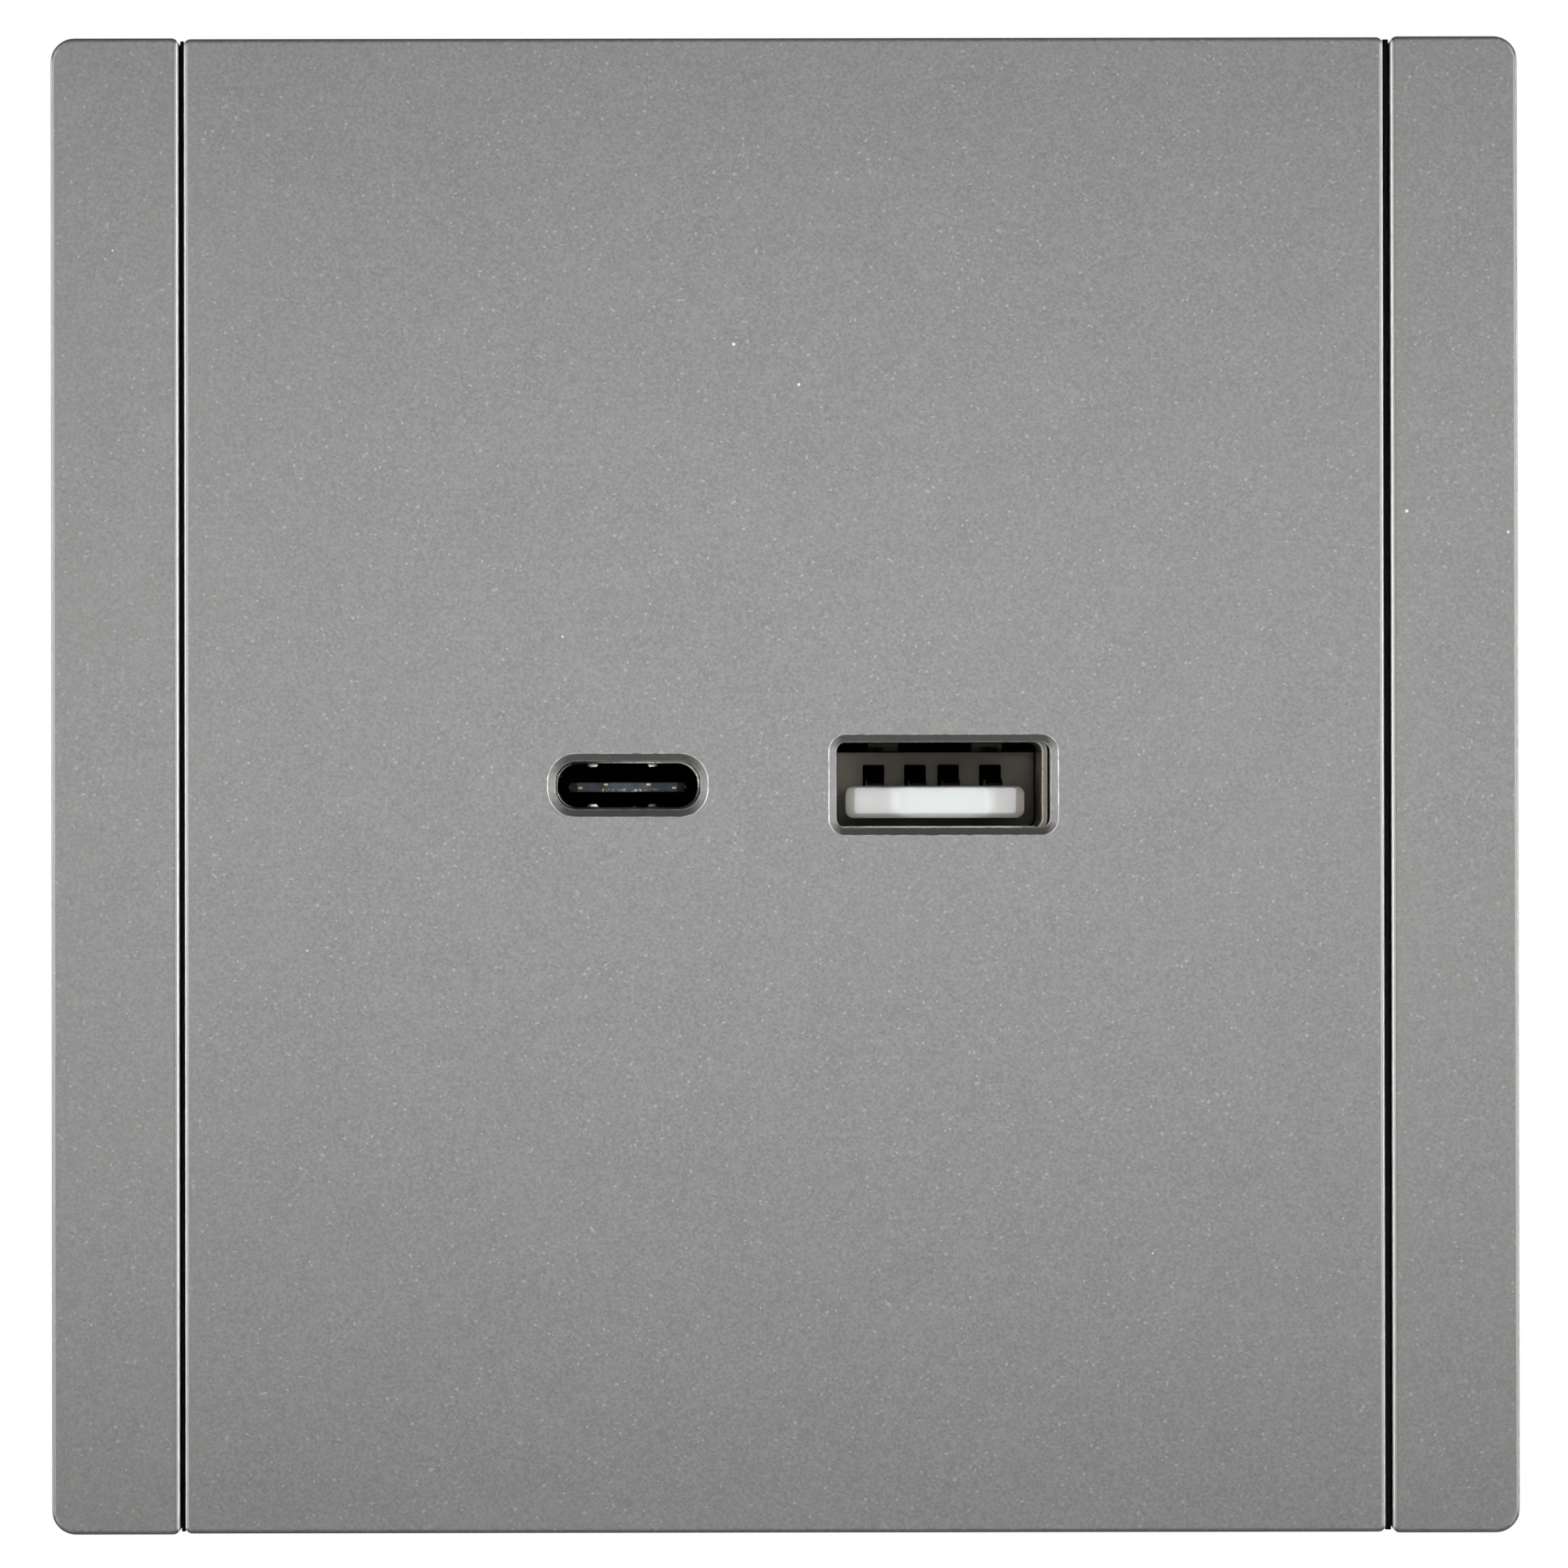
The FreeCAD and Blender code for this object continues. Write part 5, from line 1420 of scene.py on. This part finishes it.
@dataclass
class Housing:
    """The two halves of the housing, their screws and the pole marks."""

    builder: Builder
    mark_size: float = 0.0032
    mark_rise: float = 0.00018
    mark_aside: float = 5.2 * MM
    mark_up: float = 1.6 * MM
    screw_pitch: float = 0.0009
    screw_radius: float = 1.28 * MM
    screw_head: float = 2.3 * MM
    thread_start: float = 0.0003
    thread_length: float = 8.0 * MM

    def build(self) -> None:
        """Rebuilds the halves and adds the threads and the marks."""
        for node in ("front_housing", "rear_housing", "housing_screws"):
            self.builder.smooth_copy(node)
        self._threads()
        for side in Side:
            self._mark(side)

    def _threads(self) -> None:
        """Adds the threads of the housing screws."""
        low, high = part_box("housing_screws")
        places = [Vector((x, low.y + self.thread_start, z))
                  for x in (low.x + self.screw_head, high.x - self.screw_head)
                  for z in (low.z + self.screw_head, high.z - self.screw_head)]
        thread = Thread("housing_screw_threads", self.screw_radius, self.screw_pitch, self.thread_length,
                        places, True)
        material = self.builder.finisher.material("screw_steel")
        self.builder.add(thread.name, thread.mesh(material), "socket", "screw_steel")

    def _mark(self, side: Side) -> None:
        """Adds the raised letter of one pole beside its wire entry.

        Args:
            side: The pole.
        """
        text = bpy.data.curves.new("pole_mark", "FONT")
        text.body = "L" if side is Side.LINE else "N"
        text.size = self.mark_size
        text.extrude = self.mark_rise
        text.align_x = "CENTER"
        text.align_y = "CENTER"
        host = bpy.data.objects.new("pole_mark", text)
        bpy.context.scene.collection.objects.link(host)
        evaluated = host.evaluated_get(bpy.context.evaluated_depsgraph_get())
        mesh = bpy.data.meshes.new_from_object(evaluated)
        bpy.data.objects.remove(host)
        low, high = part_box("line_terminal_cage")
        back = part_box("rear_housing")[1].y
        middle = abs(low.x + high.x) / 2
        turn = Matrix.Rotation(math.pi, 4, "Z") @ Matrix.Rotation(math.pi / 2, 4, "X")
        place = Vector((side.value * (middle - self.mark_aside), back - 0.6 * self.mark_rise,
                        (low.z + high.z) / 2 + self.mark_up))
        mesh.transform(Matrix.Translation(place) @ turn)
        self.builder.add(side.name.lower() + "_pole_mark", mesh, "socket", "dark_housing")


@dataclass
class PortBody:
    """The moulded body of the USB-A receptacle: a base with four contact holes, and the tongue."""

    base_depth: float = 2.4 * MM
    base_corner: float = 0.6 * MM
    base_edge: float = 0.03 * MM
    hole: float = 1.3 * MM
    hole_corner: float = 0.08 * MM
    hole_places: tuple[float, ...] = (-3.5 * MM, -1.0 * MM, 1.0 * MM, 3.5 * MM)
    tongue_top: float = -0.05 * MM
    tongue_width: float = 10.5 * MM
    tongue_thick: float = 1.89 * MM
    tongue_corner: float = 0.5 * MM
    nose_depth: float = 0.5 * MM
    nose_side: float = 0.5 * MM
    nose_low: float = 0.28 * MM
    nose_high: float = 0.1 * MM
    nose_corner: float = 0.16 * MM

    def mesh(self, node: str) -> bpy.types.Mesh:
        """Builds the base and the tongue where the node stands.

        Args:
            node: The node that gives the place.

        Returns:
            The mesh of both.
        """
        low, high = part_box(node)
        middle = middle_of(node)
        front = high.y - self.base_depth
        base = self._base(low, high, middle, front)
        tongue = loft("tongue", self._rings(middle, low.y, front + self.base_edge))
        return shade(joined("usb_a_body", [base, tongue]), 40.0)

    def _base(self, low: Vector, high: Vector, middle: float, front: float) -> bpy.types.Mesh:
        """Builds the base with its holes.

        Args:
            low: The lowest corner of the node's box.
            high: Its highest corner.
            middle: The middle of the port along X.
            front: The place of the base's front along Y.

        Returns:
            The mesh of the base.
        """
        size = high - low
        centre = Vector((middle, front, (low.z + high.z) / 2))
        rim = [Vector((middle + side * size.x / 2, front, high.z)) for side in (1, -1)]
        rim += [point for point in outline(centre, size.x, size.z, self.base_corner) if point.z < centre.z]
        height = self.tongue_top + self.hole / 2
        holes = [outline(Vector((middle + place, front, height)), self.hole, self.hole, self.hole_corner, 2)
                 for place in self.hole_places]
        return pierced_plate("base", rim, holes, self.base_depth, self.base_edge)

    def _rings(self, middle: float, front: float, back: float) -> list[list[Vector]]:
        """Works out the rings of the tongue, with its chamfered nose.

        Args:
            middle: The middle of the port along X.
            front: The place of the nose along Y.
            back: The place of the tongue's root along Y.

        Returns:
            The rings from the nose to the root.
        """
        steps = (
            (0.0, 1.08, self.nose_corner), (0.02 * MM, 1.0, self.nose_corner),
            (self.nose_depth, 0.06, self.tongue_corner),
            (self.nose_depth + 0.05 * MM, 0.0, self.tongue_corner),
        )
        rings = []
        for depth, inset, corner in steps:
            high = self.tongue_top - self.nose_high * inset
            low = self.tongue_top - self.tongue_thick + self.nose_low * inset
            centre = Vector((middle, front + depth, (high + low) / 2))
            width = self.tongue_width - 2 * self.nose_side * inset
            rings.append(outline(centre, width, high - low, corner))
        rings.append([Vector((point.x, back, point.z)) for point in rings[-1]])
        return rings


@dataclass
class Receptacles:
    """The USB-A and the USB-C receptacle."""

    builder: Builder
    tip_width: float = 0.26 * MM
    tip_height: float = 0.13 * MM
    tip_rise: float = 0.02 * MM
    tip_edge: float = 0.02 * MM
    tip_corner: float = 0.035 * MM
    lip_low: float = -2.5 * MM
    lip_depth: float = 1.2 * MM
    lip_lift: float = 0.13 * MM
    shroud_off: float = 0.35 * MM
    shroud_depth: float = 0.3 * MM
    shroud_margin: float = 1.3 * MM
    shroud_play: float = 0.03 * MM
    shroud_edge: float = 0.03 * MM
    block_wider: float = 0.06 * MM
    block_top: float = 0.06 * MM
    block_corner: float = 0.5 * MM
    block_steps: tuple[tuple[float, float], ...] = ((0.12, 0.06), (0.1, 0.02), (0.03, 0.02), (0.01, 0.06))
    shell_wide: tuple[float, float, float] = (13.04 * MM, 5.74 * MM, 0.92 * MM)
    shell_small: tuple[float, float, float] = (8.9 * MM, 3.2 * MM, 1.5 * MM)
    dimple_radius: float = 0.3 * MM
    dimple_rise: float = 0.16 * MM
    dimple_depth: float = 2.0 * MM
    dimples: tuple[tuple[float, float, float], ...] = (
        (-2.04, 1.3, 1.0), (1.5, 1.3, 1.0), (-2.04, -1.3, 1.0), (1.5, -1.3, 0.7), (0.4, -1.3, 0.5),
    )
    tips: tuple[tuple[float, float], ...] = ((-2.75, -0.04), (-1.25, 0.16), (1.25, 0.16), (2.75, -0.04))

    def build(self) -> None:
        """Rebuilds the shells and bodies with smooth edges and dresses the contacts."""
        for node in ("usb_a_shell", "usb_c_shell", "usb_c_insulator"):
            piece = self.builder.smooth_copy(node)
            if node == "usb_a_shell":
                self._bend_lip(piece.data)
        body = PortBody().mesh("usb_a_insulator")
        self.builder.add("usb_a_body", body, "socket", "white_insulator", ["usb_a_insulator"])
        for node in ("usb_a_contacts", "usb_c_contacts", "usb_c_mid_plate"):
            self.builder.keep(node)
        self.builder.add("usb_c_contact_tips", self._tips(), "socket", "gold_contact")
        self.builder.add("usb_a_contact_block", self._block(), "socket", "black_insulator")
        material = self.builder.finisher.material("shell_steel")
        self.builder.add("usb_c_shell_dimples", self._dimples(material), "socket", "shell_steel")
        # Black collars behind the cover plate, as painted shade in the slits around the shells.
        for node, sizes in (("usb_a_shell", self.shell_wide), ("usb_c_shell", self.shell_small)):
            name = node.replace("shell", "shroud")
            self.builder.add(name, self._shroud(name, node, *sizes), "socket", "black_plastic")

    def _shroud(self, name: str, node: str, width: float, height: float, corner: float) -> bpy.types.Mesh:
        """Builds the thin black collar that puts painted shade in the slit around a shell, behind the cover
        plate.

        Args:
            name: The collar's name.
            node: The shell's node.
            width: The shell's outer width.
            height: The shell's outer height.
            corner: The radius of the shell's outer corners.

        Returns:
            The mesh of the collar.
        """
        centre = Vector((middle_of(node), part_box(node)[0].y + self.shroud_off, 0.0))
        play, margin = self.shroud_play, self.shroud_margin
        hole = outline(centre, width + 2 * play, height + 2 * play, corner)
        rim = outline(centre, width + 2 * margin, height + 2 * margin, corner + margin)
        return shade(pierced_plate(name, rim, [hole], self.shroud_depth, self.shroud_edge), 30.0)

    def _bend_lip(self, mesh: bpy.types.Mesh) -> None:
        """Bends the lower front edge of the USB-A shell slightly inwards.

        Args:
            mesh: The shell's mesh.
        """
        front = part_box("usb_a_shell")[0].y
        for vertex in mesh.vertices:
            near = 1.0 - (vertex.co.y - front) / self.lip_depth
            if vertex.co.z < self.lip_low and near > 0.0:
                vertex.co.z += self.lip_lift * near

    def _dimples(self, material: bpy.types.Material) -> bpy.types.Mesh:
        """Builds the pressed domes inside the USB-C shell.

        Args:
            material: The shell's material.

        Returns:
            The mesh of the domes.
        """
        middle = middle_of("usb_c_contacts")
        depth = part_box("usb_c_shell")[0].y + self.dimple_depth
        sizes = {
            "Radius": ("Float", self.dimple_radius),
            "Rise": ("Float", self.dimple_rise / self.dimple_radius),
        }
        plan = Plan("usb_c_shell_dimples_plan", sizes)
        ball = plan.node("MeshUVSphere", inputs={
            "Segments": 24, "Rings": 12, "Radius": plan.size("Radius"),
        })
        flat = plan.node("ShaderNodeCombineXYZ", inputs={0: 1.0, 1: 1.0, 2: plan.size("Rise")})
        dome = plan.node("Transform", inputs={"Geometry": ball.outputs["Mesh"], "Scale": flat.outputs[0]})
        places = [(middle + x * MM, depth, z * MM) for x, z, _share in self.dimples]
        copies = plan.copies(dome.outputs[0], places, [share for _x, _z, share in self.dimples])
        mesh = plan.finish(copies, material, "usb_c_shell_dimples")
        mesh.shade_smooth()
        return mesh

    def _block(self) -> bpy.types.Mesh:
        """Builds the thin black block that closes the back of the USB-A receptacle.

        Returns:
            The mesh of the block.
        """
        low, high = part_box("usb_a_insulator")
        width = high.x - low.x + 2 * self.block_wider
        height = self.block_top - 2 * low.z
        centre = Vector((middle_of("usb_a_insulator"), high.y, self.block_top / 2))
        rings = []
        for depth, inset in self.block_steps:
            place = centre - Vector((0.0, depth * MM, 0.0))
            rings.append(outline(place, width - inset * MM, height - inset * MM, self.block_corner))
        return shade(loft("usb_a_contact_block", rings), 40.0)

    def _tips(self) -> bpy.types.Mesh:
        """Builds the ends of the four long contacts, which show in the front of the USB-C tongue.

        Returns:
            The mesh of the four ends.
        """
        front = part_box("usb_c_insulator")[0].y
        low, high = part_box("usb_c_contacts")
        middle = (low + high) / 2
        steps = ((self.tip_rise, self.tip_edge), (0.0, 0.0), (-4 * self.tip_rise, 0.0))
        tips = []
        for x, z in self.tips:
            centre = Vector((middle.x + x * MM, front, middle.z + z * MM))
            rings = []
            for depth, inset in steps:
                place = centre - Vector((0.0, depth, 0.0))
                width, height = self.tip_width - inset, self.tip_height - inset
                rings.append(outline(place, width, height, self.tip_corner, 3))
            tips.append(loft("tip", rings))
        return joined("usb_c_contact_tips", tips)


@dataclass
class Electronics:
    """The boards and everything on them."""

    builder: Builder
    round_nodes: tuple[str, ...] = (
        "input_capacitors", "output_capacitors", "fuse_resistor", "surge_disc", "safety_capacitor",
        "input_choke", "transformer_winding", "board_screws",
    )
    flat_nodes: tuple[str, ...] = (
        "port_board", "power_board", "charge_controller", "port_chip_parts", "insulation_sheet",
        "board_link_strip", "board_link_pins", "transformer_core", "transformer_bobbin",
        "bridge_rectifier", "film_capacitor", "switching_controller", "output_rectifier",
    )
    solder_inset: tuple[float, float, float] = (7.5 * MM, 0.0, 9.0 * MM)
    solder_rise: float = 0.3 * MM

    def build(self) -> None:
        """Dresses the parts and adds the solder joints."""
        for node in self.round_nodes:
            self.builder.smooth_copy(node)
        for node in self.flat_nodes:
            self.builder.keep(node)
        self._solder("power_board", 12, 9)
        self._solder("port_board", 10, 6)

    def _solder(self, board: str, count_x: int, count_z: int) -> None:
        """Adds the solder joints on the back of a board.

        Args:
            board: The board's node.
            count_x: Joints along X before some are left out.
            count_z: Joints along Z before some are left out.
        """
        low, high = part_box(board)
        inset = Vector(self.solder_inset)
        start = Vector((low.x, high.y + self.solder_rise, low.z)) + inset
        end = Vector((high.x, high.y + self.solder_rise, high.z)) - inset
        joints = Joints(board + "_joints", start, end, count_x, count_z)
        material = self.builder.finisher.material("pin_tin")
        self.builder.add(joints.name, joints.mesh(material), "socket", "pin_tin")


@dataclass
class Terminals:
    """The screw terminals of both poles."""

    builder: Builder
    pitch: float = 0.0006
    screw_radius: float = 1.62 * MM
    head: float = 2.3 * MM
    plain_tip: float = 0.4 * MM

    def build(self) -> None:
        """Rebuilds the bars, cages and screws and adds the threads."""
        for side in Side:
            pole = side.name.lower()
            for part in ("_terminal_bar", "_terminal_cage", "_terminal_screw"):
                self.builder.smooth_copy(pole + part)
            low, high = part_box(pole + "_terminal_screw")
            place = (low + high) / 2
            place.z = low.z + self.head
            thread = Thread(pole + "_screw_thread", self.screw_radius, self.pitch,
                            high.z - place.z - self.plain_tip, [place], False)
            material = self.builder.finisher.material("screw_steel")
            self.builder.add(thread.name, thread.mesh(material), pole + "_screw", "screw_steel")


@dataclass(frozen=True)
class Viewpoint:
    """The camera: it looks along +Y, nearly square on. Its tilts are in degrees."""

    x: float = -0.02 * MM
    y: float = -389.02 * MM
    z: float = -1.58 * MM
    pitch: float = 0.2476
    roll: float = 0.0955
    lens: float = 149.615
    sensor: float = 36.0
    nearest: float = 0.01
    farthest: float = 20.0

    def build(self) -> None:
        """Creates the camera and makes it the scene's own."""
        data = bpy.data.cameras.new("camera")
        data.lens = self.lens
        data.sensor_width = self.sensor
        data.sensor_fit = "HORIZONTAL"
        data.clip_start = self.nearest
        data.clip_end = self.farthest
        camera = bpy.data.objects.new("camera", data)
        level = Matrix.Rotation(math.pi / 2, 4, "X")
        tilt = Matrix.Rotation(math.radians(self.pitch), 4, "X")
        roll = Matrix.Rotation(math.radians(self.roll), 4, "Y")
        camera.matrix_world = Matrix.Translation((self.x, self.y, self.z)) @ tilt @ roll @ level
        bpy.context.scene.collection.objects.link(camera)
        bpy.context.scene.camera = camera


@dataclass(frozen=True)
class Lamp:
    """One square area lamp. Its spread is in degrees."""

    name: str
    place: tuple[float, float, float]
    side: float
    power: float
    spread: float = 180.0
    aim: tuple[float, float, float] = (0.0, 0.0, 0.0)

    def build(self) -> None:
        """Creates the lamp and turns it to what it lights."""
        data = bpy.data.lights.new(self.name, "AREA")
        data.shape = "SQUARE"
        data.size = self.side
        data.energy = self.power
        data.spread = math.radians(self.spread)
        lamp = bpy.data.objects.new(self.name, data)
        place = Vector(self.place)
        turn = (Vector(self.aim) - place).to_track_quat("-Z", "Y").to_matrix().to_4x4()
        lamp.matrix_world = Matrix.Translation(place) @ turn
        bpy.context.scene.collection.objects.link(lamp)


@dataclass(frozen=True)
class Studio:
    """Two side lamps, a lamp behind, the world and the floor."""

    floor_z: float = -0.2
    floor_half: float = 0.5
    floor_glow: float = 0.7
    floor_rim: tuple[float, float] = (0.4, 0.56)
    paper: tuple[Colour, Colour] = ((0.5, 0.5, 0.49), (0.54, 0.54, 0.53))
    paper_cloud: float = 0.02
    ambient: float = 0.05
    dim: float = 0.01
    warm: Colour = (1.0, 0.93, 0.83)
    cone_edge: float = 0.80
    cone_fade: float = 0.14
    lamps: tuple[Lamp, ...] = (
        Lamp("left_lamp", (-0.743, -0.624, 0.02), 0.13, 0.0548, 9.2, (0.0, 0.0, 0.006)),
        Lamp("right_lamp", (0.743, -0.624, 0.02), 0.13, 0.0585, 9.2, (0.0, 0.0, 0.006)),
        Lamp("back_lamp", (0.4, 1.2, 0.25), 0.8, 7.0),
    )

    def build(self) -> None:
        """Sets up the whole studio."""
        for lamp in self.lamps:
            lamp.build()
        self._world()
        self._floor()
        bpy.context.scene.view_settings.view_transform = "Standard"

    def _world(self) -> None:
        """Makes a world that looks white, shows white in gloss from behind the object, and lights little."""
        world = bpy.data.worlds.new("studio")
        bpy.context.scene.world = world
        world.use_nodes = True
        graph = Graph(world.node_tree)
        rays = graph.node("ShaderNodeLightPath").outputs
        direction = graph.node("ShaderNodeTexCoord").outputs["Generated"]
        ahead = graph.across("DOT_PRODUCT", direction, (0.0, 1.0, 0.0))
        backdrop = Amount(graph, ahead.outputs["Value"]).above(self.cone_edge, self.cone_fade)
        gloss = Amount(graph, rays["Is Glossy Ray"])
        seen = Amount(graph, rays["Is Camera Ray"]) + Amount(graph, rays["Is Transmission Ray"])
        strength = self.ambient + gloss * (self.dim - self.ambient + (1.0 - self.dim) * backdrop) \
            + seen * (1.0 - self.ambient)
        colour = graph.blend(gloss * (1.0 - backdrop), (1.0, 1.0, 1.0), self.warm)
        light = graph.node("ShaderNodeBackground", inputs={"Color": colour, "Strength": strength})
        graph.node("ShaderNodeOutputWorld", inputs={"Surface": light.outputs[0]})

    def _floor(self) -> None:
        """Lays a pale round floor that fades into the white background and keeps the object's shadow."""
        shape = bmesh.new()
        bmesh.ops.create_circle(shape, cap_ends=True, segments=128, radius=self.floor_half)
        mesh = bpy.data.meshes.new("floor")
        shape.to_mesh(mesh)
        shape.free()
        mesh.transform(Matrix.Translation((0.0, 0.0, self.floor_z)))
        floor = bpy.data.objects.new("floor", mesh)
        bpy.context.scene.collection.objects.link(floor)
        recipe = Recipe("floor_paper")
        far = recipe.across("LENGTH", recipe.stretched((1.0, 1.0, 0.0))).outputs["Value"]
        rim = Amount(recipe, far).above(*(share * self.floor_half for share in self.floor_rim))
        fade = self.floor_glow + (1.0 - self.floor_glow) * rim
        paper = recipe.noise(self.paper_cloud, 3.0)
        recipe.done(Base_Color=recipe.blend(paper, *self.paper), Roughness=0.8)
        glow = recipe.node("ShaderNodeEmission", inputs={"Color": (1.0, 1.0, 1.0), "Strength": 1.0})
        path = recipe.node("ShaderNodeLightPath")
        seen = Amount(recipe, path.outputs["Is Camera Ray"]) * fade
        mix = recipe.node("ShaderNodeMixShader", inputs={
            0: seen, 1: recipe.shader.outputs[0], 2: glow.outputs[0],
        })
        recipe.feed(recipe.output.inputs["Surface"], mix.outputs[0])
        mesh.materials.append(recipe.material)


def main() -> None:
    """Builds the camera, the studio and every sub-assembly in order."""
    logging.basicConfig(level=logging.INFO, format="%(message)s")
    Viewpoint().build()
    Studio().build()
    builder = Builder()
    assemblies: list[Callable[[Builder], Any]] = [
        Covers, Carrier, Housing, Receptacles, Electronics, Terminals,
    ]
    for assembly in assemblies:
        assembly(builder).build()


if __name__ == "__main__":
    main()
